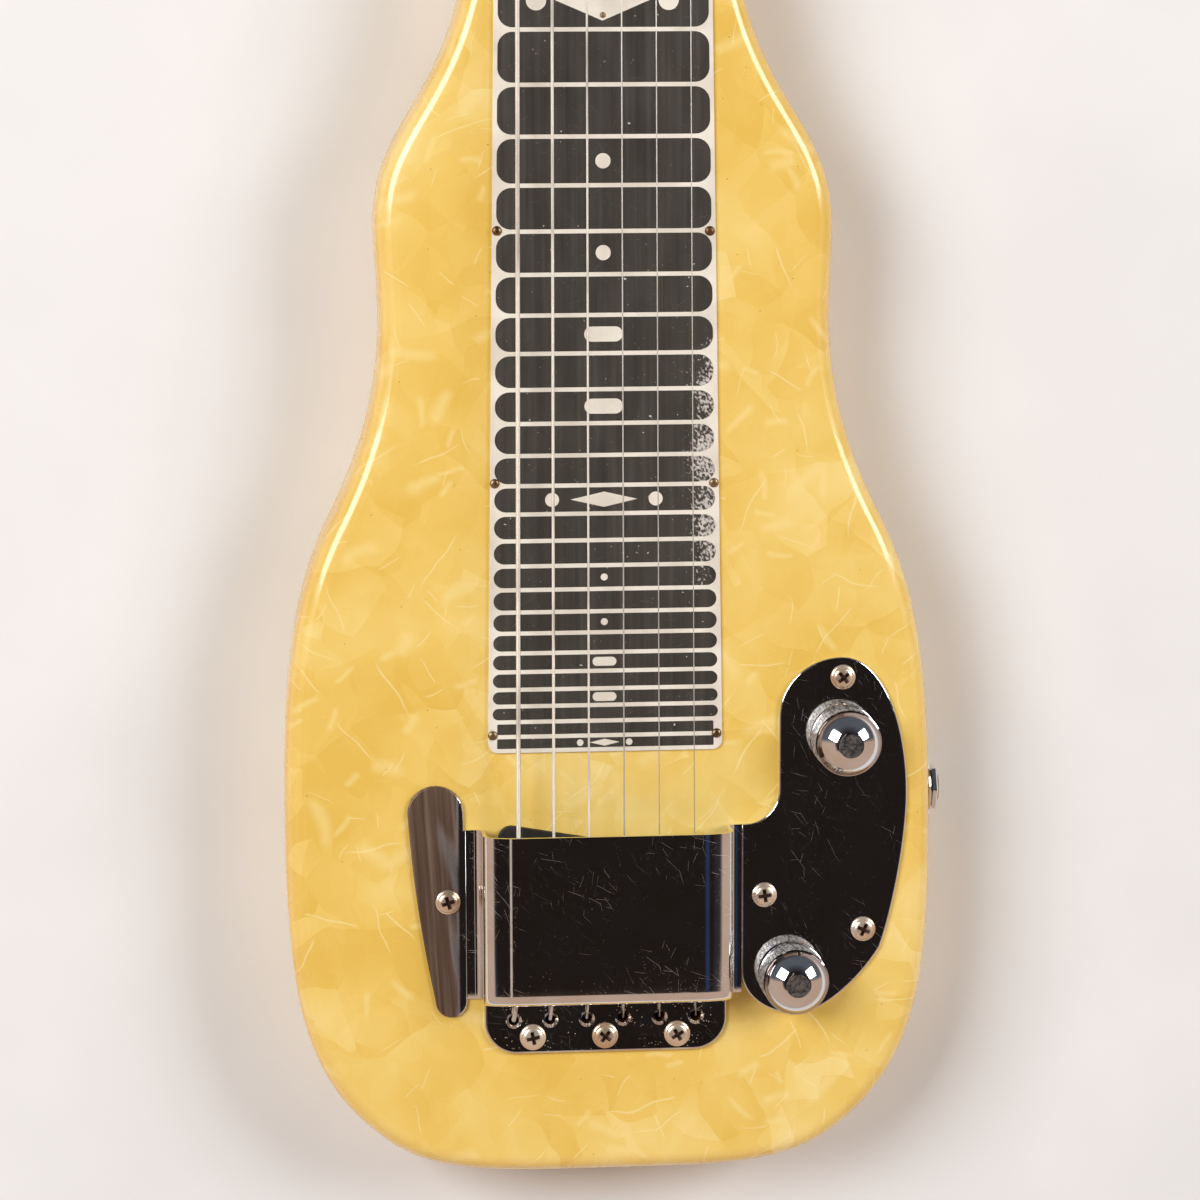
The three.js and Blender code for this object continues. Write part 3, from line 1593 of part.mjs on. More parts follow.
addBody();
addHardware();
addPickup();
addControl('volume', volume, corridor.angle() + Math.PI);
addControl('tone', tone, corridor.angle());
addWiring();
addJack();
addTuners();

export default guitar;
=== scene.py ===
"""The looks of a lap steel guitar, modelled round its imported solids.

Sizes are written in millimetres, as the maker measures them, and become metres when a piece is laid down.
The strings run along Y, the controls sit on the +X side and the playing face looks up +Z.
"""
import logging
import math
from dataclasses import dataclass
from enum import Enum
from typing import Optional, Sequence

import bpy
from mathutils import Matrix, Vector


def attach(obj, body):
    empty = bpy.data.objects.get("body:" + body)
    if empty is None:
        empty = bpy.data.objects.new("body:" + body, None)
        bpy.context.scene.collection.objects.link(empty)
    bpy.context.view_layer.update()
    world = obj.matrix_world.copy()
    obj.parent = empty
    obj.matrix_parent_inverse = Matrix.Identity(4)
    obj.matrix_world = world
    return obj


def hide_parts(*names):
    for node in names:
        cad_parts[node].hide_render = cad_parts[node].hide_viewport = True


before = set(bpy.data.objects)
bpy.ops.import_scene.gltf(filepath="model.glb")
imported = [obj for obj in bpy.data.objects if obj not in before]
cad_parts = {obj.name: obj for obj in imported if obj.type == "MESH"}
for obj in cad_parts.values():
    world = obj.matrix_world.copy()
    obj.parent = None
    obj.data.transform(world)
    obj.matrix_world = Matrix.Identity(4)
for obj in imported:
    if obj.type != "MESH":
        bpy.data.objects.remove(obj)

# Blender's own first objects aren't part of the solids' box.
for leftover in ("Cube", "Light", "Camera"):
    if leftover in bpy.data.objects:
        bpy.data.objects.remove(bpy.data.objects[leftover])
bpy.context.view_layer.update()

Piece = bpy.types.Object
Flat = tuple[float, float]
Place = tuple[float, float, float]
Shade = tuple[float, float, float]

MM = 0.001

# Heights above the back that several pieces share, in mm
FACE = 35.0
BOARD_TOP = 35.8
PLATE_TOP = 36.2
BRIDGE_TOP = 36.5
COVER_TOP = 50.4

# The strings' spacing and the places that they touch, in mm
SCALE_LENGTH = 571.5
STRING_CENTRE = -0.5
HOLE_PITCH = 11.1
RIDGE_PITCH = 10.7
NUT_PITCH = 9.6
STRING_ROW = -11.6
RIDGE_TOP = 43.44
NUT_TOP = 42.8
NUT_FAR = 576.3

# The tuners' places, in mm
POST_X = 27.5
POST_ROWS = (598.0, 632.0, 666.0)
POST_EYE = 37.6
KEY_HEIGHT = 10.1
GEAR_GAP = 6.9

# The places of the jack, the controls and the screws, in mm
JACK_AT = (54.3, 17.5)
VOLUME_AT = (72.2, 73.6)
TONE_AT = (56.6, 0.6)
EAR_SCREW = (-47.9, 25.6)
PLATE_SCREWS = ((71.9, 92.1), (48.2, 25.6), (78.5, 14.3))
BRIDGE_SCREWS = ((-22.5, -16.8), (-0.5, -16.8), (21.5, -16.8))
KNOB_FOOT = 37.1
KNOB_RIM = 46.35
KNOB_TOP = 51.5

# The level margin inside a rounding, which keeps a flat top's shading flat
FLAT_MARGIN = 0.15

log = logging.getLogger("lap_steel")


class Body(Enum):
    """The moving bodies that a piece can ride on."""

    INSTRUMENT = "instrument"
    VOLUME = "volume_control"
    TONE = "tone_control"


class Slot(Enum):
    """The record's material slots."""

    WOOD = "wood"
    PEARLOID = "pearloid"
    BOARD = "board_metal"
    CHROME = "chrome"
    STEEL = "steel"
    WIRE = "wire"
    BRASS = "brass"
    FIBRE = "fibre"
    COPPER = "copper"
    MAGNET = "magnet"
    CAPACITOR = "capacitor"
    INSULATION = "insulation"
    BUTTON = "button"


class Facing(Enum):
    """The way that a turned piece's axis points."""

    UP = (0, 0, 0)
    RIGHT = (0, 90, 0)
    ALONG = (-90, 0, 0)


# Flat shapes


def bezier(start: Flat, leave: Flat, arrive: Flat, end: Flat, steps: int) -> list[Flat]:
    """Points along a cubic curve.

    Args:
        start: First point.
        leave: Handle that the curve leaves the start by, as an offset.
        arrive: Handle that it reaches the end by, as an offset.
        end: Last point.
        steps: Number of equal steps.

    Returns:
        The points, both ends included.
    """
    first = (start[0] + leave[0], start[1] + leave[1])
    second = (end[0] + arrive[0], end[1] + arrive[1])
    points = []
    for step in range(steps + 1):
        t = step / steps
        weights = ((1 - t) ** 3, 3 * t * (1 - t) ** 2, 3 * t * t * (1 - t), t ** 3)
        corners = (start, first, second, end)
        points.append(tuple(sum(w * c[axis] for w, c in zip(weights, corners)) for axis in (0, 1)))
    return points


def arc(centre: Flat, radius: float, first: float, last: float, steps: int) -> list[Flat]:
    """Points on a circle.

    Args:
        centre: Centre of the circle.
        radius: Its radius.
        first: Angle of the first point, in degrees.
        last: Angle of the last point, in degrees.
        steps: Number of equal steps.

    Returns:
        The points, both ends included.
    """
    angles = [math.radians(first + (last - first) * step / steps) for step in range(steps + 1)]
    return [(centre[0] + radius * math.cos(a), centre[1] + radius * math.sin(a)) for a in angles]


def round_box(centre: Flat, width: float, height: float, radius: float, steps: int = 6) -> list[Flat]:
    """The outline of a rectangle with round corners.

    Args:
        centre: Middle of the rectangle.
        width: Size along X.
        height: Size along Y.
        radius: Corner radius.
        steps: Steps in each corner.

    Returns:
        The outline, anticlockwise.
    """
    x, y = width / 2 - radius, height / 2 - radius
    corners = ((x, y, 0), (-x, y, 90), (-x, -y, 180), (x, -y, 270))
    points: list[Flat] = []
    for dx, dy, turn in corners:
        points += arc((centre[0] + dx, centre[1] + dy), radius, turn, turn + 90, steps)
    return points


def without_doubles(points: Sequence[Flat], least: float = 0.05) -> list[Flat]:
    """Drops each point that lies on the one before it.

    Args:
        points: A closed outline.
        least: Smallest gap that is kept.

    Returns:
        The outline without doubles.
    """
    kept: list[Flat] = []
    for point in points:
        if not kept or math.dist(point, kept[-1]) > least:
            kept.append(point)
    while len(kept) > 1 and math.dist(kept[0], kept[-1]) <= least:
        kept.pop()
    return kept


def turned_about(points: Sequence[Flat], centre: Flat, degrees: float) -> list[Flat]:
    """Turns an outline about a point.

    Args:
        points: The outline.
        centre: The point that stays.
        degrees: Anticlockwise angle.

    Returns:
        The turned outline.
    """
    c, s = math.cos(math.radians(degrees)), math.sin(math.radians(degrees))
    offsets = [(x - centre[0], y - centre[1]) for x, y in points]
    return [(centre[0] + x * c - y * s, centre[1] + x * s + y * c) for x, y in offsets]


def drop(low: Flat, high: Flat) -> float:
    """How far one point lies below another."""
    return high[1] - low[1]


def toward(way: Flat, length: float) -> Flat:
    """An offset of a length along a direction."""
    return length * way[0], length * way[1]


def swell(value: float, power: float) -> float:
    """A power of a value's size that keeps its sign."""
    return math.copysign(abs(value) ** power, value)


def disc(centre: Flat, radius: float, steps: int) -> list[Flat]:
    """The outline of a round disc, with its number of corners."""
    return arc(centre, radius, 0, 360, steps)[:-1]


def string_x(index: int, pitch: float) -> float:
    """Where string `index` lies across the instrument, for a spacing in mm."""
    return STRING_CENTRE + (index - 2.5) * pitch


def post_side(index: int) -> int:
    """The side of the head, as a sign along X, on which the post of string `index` stands."""
    return -1 if index < 3 else 1


def post_at(index: int) -> Flat:
    """Where the post of string `index` stands."""
    return post_side(index) * POST_X, POST_ROWS[index if index < 3 else 5 - index]


# Modelling steps


class Bench:
    """The modelling steps that the sub-assemblies share."""

    @staticmethod
    def choose(piece: Piece, low: Place, high: Place, faces: bool = False) -> None:
        """Opens a piece in edit mode with only what lies in a box selected.

        Args:
            piece: The piece.
            low: Lowest corner of the box, in mm.
            high: Highest corner of the box, in mm.
            faces: Whether faces are chosen by their middles, instead of corners.
        """
        Bench.edit(piece)
        bpy.ops.mesh.select_mode(type="FACE" if faces else "VERT")
        bpy.ops.mesh.select_all(action="DESELECT")
        bpy.ops.object.mode_set(mode="OBJECT")
        for part in piece.data.polygons if faces else piece.data.vertices:
            middle = part.center if faces else part.co
            part.select = all(a * MM <= c <= b * MM for a, c, b in zip(low, middle, high))
        bpy.ops.object.mode_set(mode="EDIT")

    @staticmethod
    def clear() -> None:
        """Leaves edit mode and deselects everything."""
        if bpy.context.mode != "OBJECT":
            bpy.ops.object.mode_set(mode="OBJECT")
        bpy.ops.object.select_all(action="DESELECT")

    @staticmethod
    def pick(pieces: Sequence[Piece]) -> None:
        """Selects the pieces and makes the first one active."""
        Bench.clear()
        for piece in pieces:
            piece.select_set(True)
        bpy.context.view_layer.objects.active = pieces[0]

    @staticmethod
    def sheet(name: str, outline: Sequence[Place]) -> Piece:
        """Adds a filled circle and lays its corners on an outline.

        Args:
            name: Name of the piece.
            outline: Corners of the face, in mm.

        Returns:
            The piece, one face.
        """
        Bench.clear()
        bpy.ops.mesh.primitive_circle_add(vertices=len(outline), radius=1, fill_type="NGON")
        piece = bpy.context.object
        piece.name = piece.data.name = name
        for corner, point in zip(piece.data.vertices, outline):
            corner.co = Vector(point) * MM
        return piece

    @staticmethod
    def level(name: str, outline: Sequence[Flat], height: float) -> Piece:
        """Adds a level face with the given outline, at a height in mm."""
        return Bench.sheet(name, [(x, y, height) for x, y in without_doubles(outline)])

    @staticmethod
    def edit(piece: Piece) -> None:
        """Opens the piece in edit mode with all of it selected."""
        Bench.pick([piece])
        bpy.ops.object.mode_set(mode="EDIT")
        bpy.ops.mesh.select_all(action="SELECT")

    @staticmethod
    def push(offset: Place) -> None:
        """Extrudes the selected face by an offset in mm."""
        bpy.ops.mesh.extrude_region_move(TRANSFORM_OT_translate={"value": tuple(v * MM for v in offset)})

    @staticmethod
    def draw_in(width: float, rise: float) -> None:
        """Insets the selected face by a width and lifts it along its normal, in mm."""
        bpy.ops.mesh.inset(thickness=width * MM, depth=rise * MM, use_even_offset=True)

    @staticmethod
    def round_over(radius: float, steps: int) -> None:
        """Rounds the edge of the selected face outwards.

        Args:
            radius: Radius of the edge in mm.
            steps: Number of insets.
        """
        for step in range(steps):
            now, then = (math.radians(90 * s / steps) for s in (step, step + 1))
            inwards = radius * (math.cos(now) - math.cos(then))
            Bench.draw_in(inwards, radius * (math.sin(then) - math.sin(now)))

    @staticmethod
    def tidy(piece: Piece, smooth: float = 32.0) -> Piece:
        """Merges doubles, turns every face outwards and smooths shallow edges.

        Args:
            piece: The piece.
            smooth: Largest angle in degrees that is shaded smooth.

        Returns:
            The same piece.
        """
        Bench.edit(piece)
        bpy.ops.mesh.remove_doubles(threshold=0.002 * MM)
        bpy.ops.mesh.normals_make_consistent(inside=False)
        bpy.ops.object.mode_set(mode="OBJECT")
        bpy.ops.object.shade_smooth_by_angle(angle=math.radians(smooth))
        return piece

    @staticmethod
    def slab(
        name: str,
        outline: Sequence[Flat],
        low: float,
        high: float,
        edge: float = 0.0,
        steps: int = 3,
    ) -> Piece:
        """Makes a level slab, with a round upper edge if one is given.

        Args:
            name: Name of the piece.
            outline: Its outline, anticlockwise.
            low: Height of the underside in mm.
            high: Height of the top in mm.
            edge: Radius of the upper edge.
            steps: Steps in that radius.

        Returns:
            The closed piece.
        """
        piece = Bench.level(name, outline, low)
        Bench.edit(piece)
        Bench.push((0, 0, high - low - edge))
        if edge:
            Bench.round_over(edge, steps)
            Bench.draw_in(FLAT_MARGIN, 0)
        return Bench.tidy(piece)

    @staticmethod
    def turned(
        name: str,
        profile: Sequence[Flat],
        at: Place,
        facing: Facing = Facing.UP,
        sides: int = 48,
        section: Optional[Sequence[Flat]] = None,
    ) -> Piece:
        """Makes a turned piece from (radius, height) pairs.

        Args:
            name: Name of the piece.
            profile: Pairs along the piece's outside, from its closed foot to its closed end.
            at: Where height 0 of the axis lies, in mm.
            facing: Which way the axis points.
            sides: Sides of the turning.
            section: Outline that takes the circle's place, drawn for radius 1.

        Returns:
            The closed piece.
        """
        foot, height = profile[0]
        section = section or disc((0, 0), 1, sides)
        piece = Bench.sheet(name, [(x * foot, y * foot, height) for x, y in section])
        Bench.edit(piece)
        for (old, low), (new, high) in zip(profile, profile[1:]):
            Bench.push((0, 0, high - low))
            bpy.ops.transform.resize(value=(new / old, new / old, 1), center_override=(0, 0, 0))
        Bench.tidy(piece)
        piece.rotation_euler = [math.radians(turn) for turn in facing.value]
        piece.location = Vector(at) * MM
        Bench.pick([piece])
        bpy.ops.object.transform_apply(location=True, rotation=True, scale=True)
        return piece

    @staticmethod
    def join(name: str, pieces: Sequence[Piece]) -> Piece:
        """Joins pieces into the first one.

        Args:
            name: Name of the whole.
            pieces: The pieces, which end as one.

        Returns:
            The whole.
        """
        Bench.pick(list(pieces))
        if len(pieces) > 1:
            bpy.ops.object.join()
        piece = bpy.context.view_layer.objects.active
        piece.name = piece.data.name = name
        return piece

    @staticmethod
    def modify(piece: Piece, kind: str, **settings) -> None:
        """Adds a modifier and applies it.

        Args:
            piece: The piece that is changed.
            kind: The modifier's type.
            **settings: The modifier's own settings.
        """
        Bench.pick([piece])
        step = piece.modifiers.new(kind.lower(), kind)
        for key, value in settings.items():
            setattr(step, key, value)
        bpy.ops.object.modifier_apply(modifier=step.name)

    @staticmethod
    def carve(piece: Piece, tools: Sequence[Piece], weld: bool = False) -> None:
        """Cuts each tool from a piece, or welds it on, and removes the tool.

        Args:
            piece: The piece that is changed.
            tools: Closed shapes, whose materials come along on the cut faces.
            weld: Whether the tools are joined on.
        """
        work = "UNION" if weld else "DIFFERENCE"
        for tool in tools:
            Bench.modify(
                piece, "BOOLEAN", operation=work, solver="EXACT", object=tool, material_mode="TRANSFER"
            )
            bpy.data.objects.remove(tool)

    @staticmethod
    def thicken(piece: Piece, wall: float) -> None:
        """Gives an open shell a wall inwards, in mm."""
        Bench.modify(piece, "SOLIDIFY", thickness=wall * MM, offset=-1, use_even_offset=True)

    @staticmethod
    def soften(piece: Piece, width: float, steps: int, sharper_than: float) -> None:
        """Rounds a piece's sharp edges.

        Args:
            piece: The piece.
            width: Width of the rounding in mm.
            steps: Steps in it.
            sharper_than: Smallest bend in degrees that is rounded.
        """
        least = math.radians(sharper_than)
        Bench.modify(
            piece, "BEVEL", width=width * MM, segments=steps, limit_method="ANGLE", angle_limit=least
        )

    @staticmethod
    def drop_faces(piece: Piece, low: Place, high: Place) -> None:
        """Deletes the faces whose middles lie in a box.

        Args:
            piece: The piece.
            low: Lowest corner of the box, in mm.
            high: Highest corner of the box, in mm.
        """
        Bench.choose(piece, low, high, faces=True)
        bpy.ops.mesh.delete(type="FACE")
        bpy.ops.mesh.select_mode(type="VERT")
        bpy.ops.object.mode_set(mode="OBJECT")

    @staticmethod
    def prism(name: str, outline: Sequence[Place], offset: Place) -> Piece:
        """Lays a face on an outline and extrudes it.

        Args:
            name: Name of the piece.
            outline: Corners of the face, in mm.
            offset: How far the face is carried, in mm.

        Returns:
            The closed piece.
        """
        piece = Bench.sheet(name, outline)
        Bench.edit(piece)
        Bench.push(offset)
        return Bench.tidy(piece)

    @staticmethod
    def copy(piece: Piece, name: str, move: Matrix) -> Piece:
        """Copies a piece with its own mesh.

        Args:
            piece: The model.
            name: Name of the copy.
            move: Where the copy lies from the model, in metres.

        Returns:
            The copy.
        """
        twin = piece.copy()
        twin.data = piece.data.copy()
        twin.name = twin.data.name = name
        twin.data.transform(move)
        bpy.context.scene.collection.objects.link(twin)
        return twin

    @staticmethod
    def wire(name: str, points: Sequence[Place], radius: float, sides: int = 12) -> Piece:
        """Draws a round wire along points in mm and makes it a mesh.

        Args:
            name: Name of the piece.
            points: Points along its middle.
            radius: Radius of the wire.
            sides: Sides of the wire, a multiple of four.

        Returns:
            The closed mesh.
        """
        Bench.clear()
        curve = bpy.data.curves.new(name, "CURVE")
        curve.dimensions = "3D"
        line = curve.splines.new("POLY")
        line.points.add(len(points) - 1)
        for corner, point in zip(line.points, points):
            corner.co = (*(v * MM for v in point), 1)
        curve.bevel_depth = radius * MM
        curve.bevel_resolution = sides // 4
        curve.use_fill_caps = True
        piece = bpy.data.objects.new(name, curve)
        bpy.context.scene.collection.objects.link(piece)
        Bench.pick([piece])
        bpy.ops.object.convert(target="MESH")
        return Bench.tidy(bpy.context.object, 50)


def settle(
    piece: Piece,
    material: bpy.types.Material,
    body: str = Body.INSTRUMENT.value,
    stands_for: Sequence[str] = (),
) -> Piece:
    """Dresses a piece, puts it on its body and hides the solids that it stands for.

    Args:
        piece: The finished piece.
        material: What it is made of.
        body: The body that it rides on.
        stands_for: Solids that it replaces.

    Returns:
        The same piece.
    """
    if material.name not in piece.data.materials:
        piece.data.materials.clear()
        piece.data.materials.append(material)
    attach(piece, body)
    if stands_for:
        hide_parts(*stands_for)
    log.info("%s: %d faces", piece.name, len(piece.data.polygons))
    return piece


# Finishes


def tint(red: float, green: float, blue: float) -> tuple[float, float, float, float]:
    """A colour from 0-255 values as the eye sees them."""
    return (*(((v / 255 + 0.055) / 1.055) ** 2.4 if v > 10 else v / 3294.6 for v in (red, green, blue)), 1.0)


Socket = bpy.types.NodeSocket


class Paint:
    """The node tree of a material or a world, laid out node by node."""

    def __init__(self, name: str, owner: Optional[bpy.types.ID] = None) -> None:
        """Starts a bare tree.

        Args:
            name: Name of the new material.
            owner: What takes the tree instead of a new material.
        """
        self.owner = owner or bpy.data.materials.new(name)
        self.owner.use_nodes = True
        self.tree = self.owner.node_tree
        self.tree.nodes.clear()
        self.spot = self.tree.nodes.new("ShaderNodeTexCoord").outputs["Object"]

    def node(self, kind: str, inputs: dict, **settings) -> bpy.types.Node:
        """Adds a node.

        Args:
            kind: Its type, without the common prefix.
            inputs: Sockets or values, by input name or number.
            **settings: The node's own settings.

        Returns:
            The node.
        """
        node = self.tree.nodes.new("ShaderNode" + kind)
        for key, value in settings.items():
            setattr(node, key, value)
        for key, value in inputs.items():
            if isinstance(value, Socket):
                self.tree.links.new(value, node.inputs[key])
            else:
                node.inputs[key].default_value = value
        return node

    def placed(
        self,
        size: Place = (1, 1, 1),
        turn: float = 0.0,
        at: Place = (0, 0, 0),
        spot: Optional[Socket] = None,
    ) -> Socket:
        """Coordinates in which a feature of the given size in mm measures 1.

        Args:
            size: Size of a feature along X, Y and Z; coordinates in mm if none.
            turn: Angle of its X about Z, in degrees.
            at: Where it is centred, in mm.
            spot: Coordinates to start from, the object's own if none.

        Returns:
            The coordinates.
        """
        inputs = {
            "Vector": spot or self.spot,
            "Location": [v * MM for v in at],
            "Rotation": (0, 0, math.radians(turn)),
            "Scale": [v * MM for v in size],
        }
        return self.node("Mapping", inputs, vector_type="TEXTURE").outputs[0]

    def noise(self, size: Place, turn: float = 0.0, detail: float = 2.0) -> Socket:
        """Cloudy values round 0.5, with features of a size in mm."""
        inputs = {"Vector": self.placed(size, turn), "Scale": 1.0, "Detail": detail}
        return self.node("TexNoise", inputs).outputs[0]

    def number(self, work: str, first, second=0.0, clamp: bool = False) -> Socket:
        """One sum on two values."""
        return self.node("Math", {0: first, 1: second}, operation=work, use_clamp=clamp).outputs[0]

    def times(self, first, second) -> Socket:
        """One value times another."""
        return self.number("MULTIPLY", first, second)

    def plus(self, first, second, clamp: bool = False) -> Socket:
        """One value plus another."""
        return self.number("ADD", first, second, clamp)

    def most(self, first, second) -> Socket:
        """The larger of two values."""
        return self.number("MAXIMUM", first, second)

    def vector(self, work: str, first, second) -> Socket:
        """One sum on two vectors."""
        return self.node("VectorMath", {0: first, 1: second}, operation=work).outputs[0]

    def upright(self) -> Socket:
        """How far the surface faces straight up or down, from 0 to 1."""
        return self.number("ABSOLUTE", self.axis(self.node("NewGeometry", {}).outputs["Normal"], "Z"))

    def cloud(self, size: float, turn: float = 0.0, detail: float = 2.0) -> Socket:
        """Cloudy values with features of the same size every way, in mm."""
        return self.noise((size, size, size), turn, detail)

    def fade(self, value: Socket, low: float, high: float, first: float = 0.0, last: float = 1.0) -> Socket:
        """Carries low..high smoothly to first..last."""
        inputs = {"Value": value, "From Min": low, "From Max": high, "To Min": first, "To Max": last}
        return self.node("MapRange", inputs, interpolation_type="SMOOTHSTEP").outputs[0]

    def blend(self, share, first, second) -> Socket:
        """Mixes two colours by a share."""
        return self.node("Mix", {0: share, 6: first, 7: second}, data_type="RGBA").outputs[2]

    def ramp(self, value: Socket, stops: Sequence[tuple[float, tuple]]) -> Socket:
        """Colours a value.

        Args:
            value: Values from 0 to 1.
            stops: Pairs of a place and its colour, in rising order.

        Returns:
            The colour.
        """
        node = self.node("ValToRGB", {0: value})
        band = node.color_ramp
        while len(band.elements) < len(stops):
            band.elements.new(0.5)
        for element, (place, colour) in zip(band.elements, stops):
            element.position = place
            element.color = colour
        return node.outputs[0]

    def bump(
        self,
        height: Socket,
        depth: float,
        strength: float = 1.0,
        under: Optional[Socket] = None,
    ) -> Socket:
        """Turns a height into a bump.

        Args:
            height: Values from 0 to 1.
            depth: Depth of the bump in mm.
            strength: Share of it that shows.
            under: Another bump that it lies on.

        Returns:
            The bent normal.
        """
        inputs = {"Height": height, "Distance": depth * MM, "Strength": strength}
        if under:
            inputs["Normal"] = under
        return self.node("Bump", inputs).outputs[0]

    def axis(self, spot: Socket, letter: str) -> Socket:
        """One axis of a vector."""
        return self.node("SeparateXYZ", {0: spot}).outputs[letter]

    def strokes(
        self,
        size: float,
        width: float,
        length: float,
        rare: float,
        turn: float = 0.0,
        spread: float = 360.0,
        sharp: float = 0.4,
        spot: Optional[Socket] = None,
    ) -> Socket:
        """Separate straight strokes, at most one in each cell of a random net.

        Args:
            size: Size of a cell in mm.
            width: Width of a stroke.
            length: Its greatest length.
            rare: Share of the cells that stay empty.
            turn: Angle that the strokes lie round, in degrees.
            spread: How far they stray from it.
            sharp: Share of a stroke's width that is at full strength.
            spot: Coordinates to start from, the object's own if none.

        Returns:
            Values from 0 to 1.
        """
        where = self.placed((size, size, size), turn, spot=spot)
        cells = self.node("TexVoronoi", {"Vector": where, "Scale": 1.0}, voronoi_dimensions="2D")
        inside = self.vector("SUBTRACT", where, cells.outputs["Position"])
        chance = [self.axis(cells.outputs["Color"], letter) for letter in "XYZ"]
        heading = self.times(self.number("SUBTRACT", chance[0], 0.5), math.radians(spread))
        ways = []
        for shift in (0.0, math.pi / 2):
            angle = self.plus(heading, shift)
            along = self.times(self.axis(inside, "X"), self.number("COSINE", angle))
            aside = self.times(self.axis(inside, "Y"), self.number("SINE", angle))
            ways.append(self.number("ABSOLUTE", self.plus(along, aside)))
        reach = self.times(ways[0], self.plus(chance[1], 1.0))
        half = width / size / 2
        mark = self.fade(ways[1], half * sharp, half, 1.0, 0.0)
        mark = self.times(mark, self.fade(reach, length / size / 4, length / size / 2, 1.0, 0.0))
        return self.times(mark, self.number("GREATER_THAN", chance[2], rare))

    def close(self, **inputs) -> bpy.types.Material:
        """Ends the tree with the main shader; underscores in a name stand for spaces."""
        named = {key.replace("_", " "): value for key, value in inputs.items()}
        shader = self.node("BsdfPrincipled", named)
        self.node("OutputMaterial", {"Surface": shader.outputs[0]})
        return self.owner


@dataclass(frozen=True)
class Pearloid:
    """Aged yellow pearl sheet: soft overlapping flakes, fine bright creases, a polished skin and painted
    shade on its side walls.
    """

    name: str = "pearloid"
    deep: tuple = tint(233, 193, 92)
    body: tuple = tint(240, 203, 107)
    pale: tuple = tint(244, 211, 122)
    crest: tuple = tint(250, 226, 152)
    # Deeper orange for the side walls: painted shade, not a colour of the sheet.
    side: tuple = tint(214, 160, 56)

    def flakes(self, p: Paint, spot: Socket, size: float, turn: float, slope: float) -> Socket:
        """Flakes that each shade from one edge to the other.

        Args:
            p: The tree.
            spot: Bent coordinates.
            size: Size of a flake in mm.
            turn: Angle of its long side.
            slope: How far a flake's own shading runs.

        Returns:
            Values round 0.
        """
        where = p.placed((size, size * 0.55, size), turn, spot=spot)
        cells = p.node("TexVoronoi", {"Vector": where, "Scale": 1.0})
        inside = p.vector("SUBTRACT", where, cells.outputs["Position"])
        chance = p.vector("SUBTRACT", cells.outputs["Color"], (0.5, 0.5, 0.5))
        slant = p.node("VectorMath", {0: inside, 1: chance}, operation="DOT_PRODUCT").outputs["Value"]
        return p.plus(p.times(p.axis(chance, "X"), 0.5), p.times(slant, slope))

    def paint(self) -> bpy.types.Material:
        """Builds the material."""
        p = Paint(self.name)
        drift = p.node("TexNoise", {"Vector": p.placed((22, 22, 22)), "Scale": 1.0, "Detail": 1.5}).outputs[1]
        bend = p.vector("ADD", drift, (-0.5, -0.5, -0.5))
        shift = p.node("VectorMath", {0: bend, "Scale": 0.012}, operation="SCALE").outputs[0]
        spot = p.vector("ADD", p.spot, shift)
        shade = p.times(self.flakes(p, spot, 40, 28, 1.1), 0.24)
        shade = p.plus(shade, p.times(self.flakes(p, spot, 23, -50, 1.3), 0.18))
        shade = p.plus(shade, p.times(self.flakes(p, spot, 12, 75, 1.3), 0.08))
        shade = p.plus(shade, p.cloud(42, detail=3))
        colour = p.ramp(shade, [(0.3, self.deep), (0.48, self.body), (0.62, self.pale), (0.84, self.crest)])
        broad = p.strokes(24, 6.5, 20, 0.45, 20, 360, 0.0, spot)
        smudge = p.most(broad, p.strokes(15, 3.2, 13, 0.5, 50, 360, 0.0, spot))
        colour = p.blend(p.times(smudge, 0.5), colour, self.crest)
        creases = p.strokes(21, 0.75, 30, 0.35, 35, 200, 0.0, spot)
        lines = p.most(creases, p.strokes(11, 0.55, 12, 0.55, -30, 220, 0.0, spot))
        colour = p.blend(p.times(lines, 0.55), colour, tint(253, 236, 176))
        upright = p.upright()
        # Walls that face sideways are painted darker: painted shade.
        wall = p.fade(upright, 0.2, 0.9, 0.5, 0.0)
        colour = p.blend(wall, colour, self.side)
        specks = p.strokes(14, 0.5, 0.7, 0.72, sharp=0.5)
        colour = p.blend(p.times(specks, 0.5), colour, tint(120, 80, 30))
        polish = p.fade(p.cloud(9, detail=4), 0.3, 0.75, 0.16, 0.3)
        skin = p.bump(p.cloud(7, detail=1), 0.1, 0.3)
        coat = p.fade(upright, 0.1, 0.6, 0.06, 0.5)
        gloss = {"Coat_Weight": coat, "Coat_Roughness": 0.04}
        return p.close(Base_Color=colour, Roughness=polish, Normal=skin, **gloss)


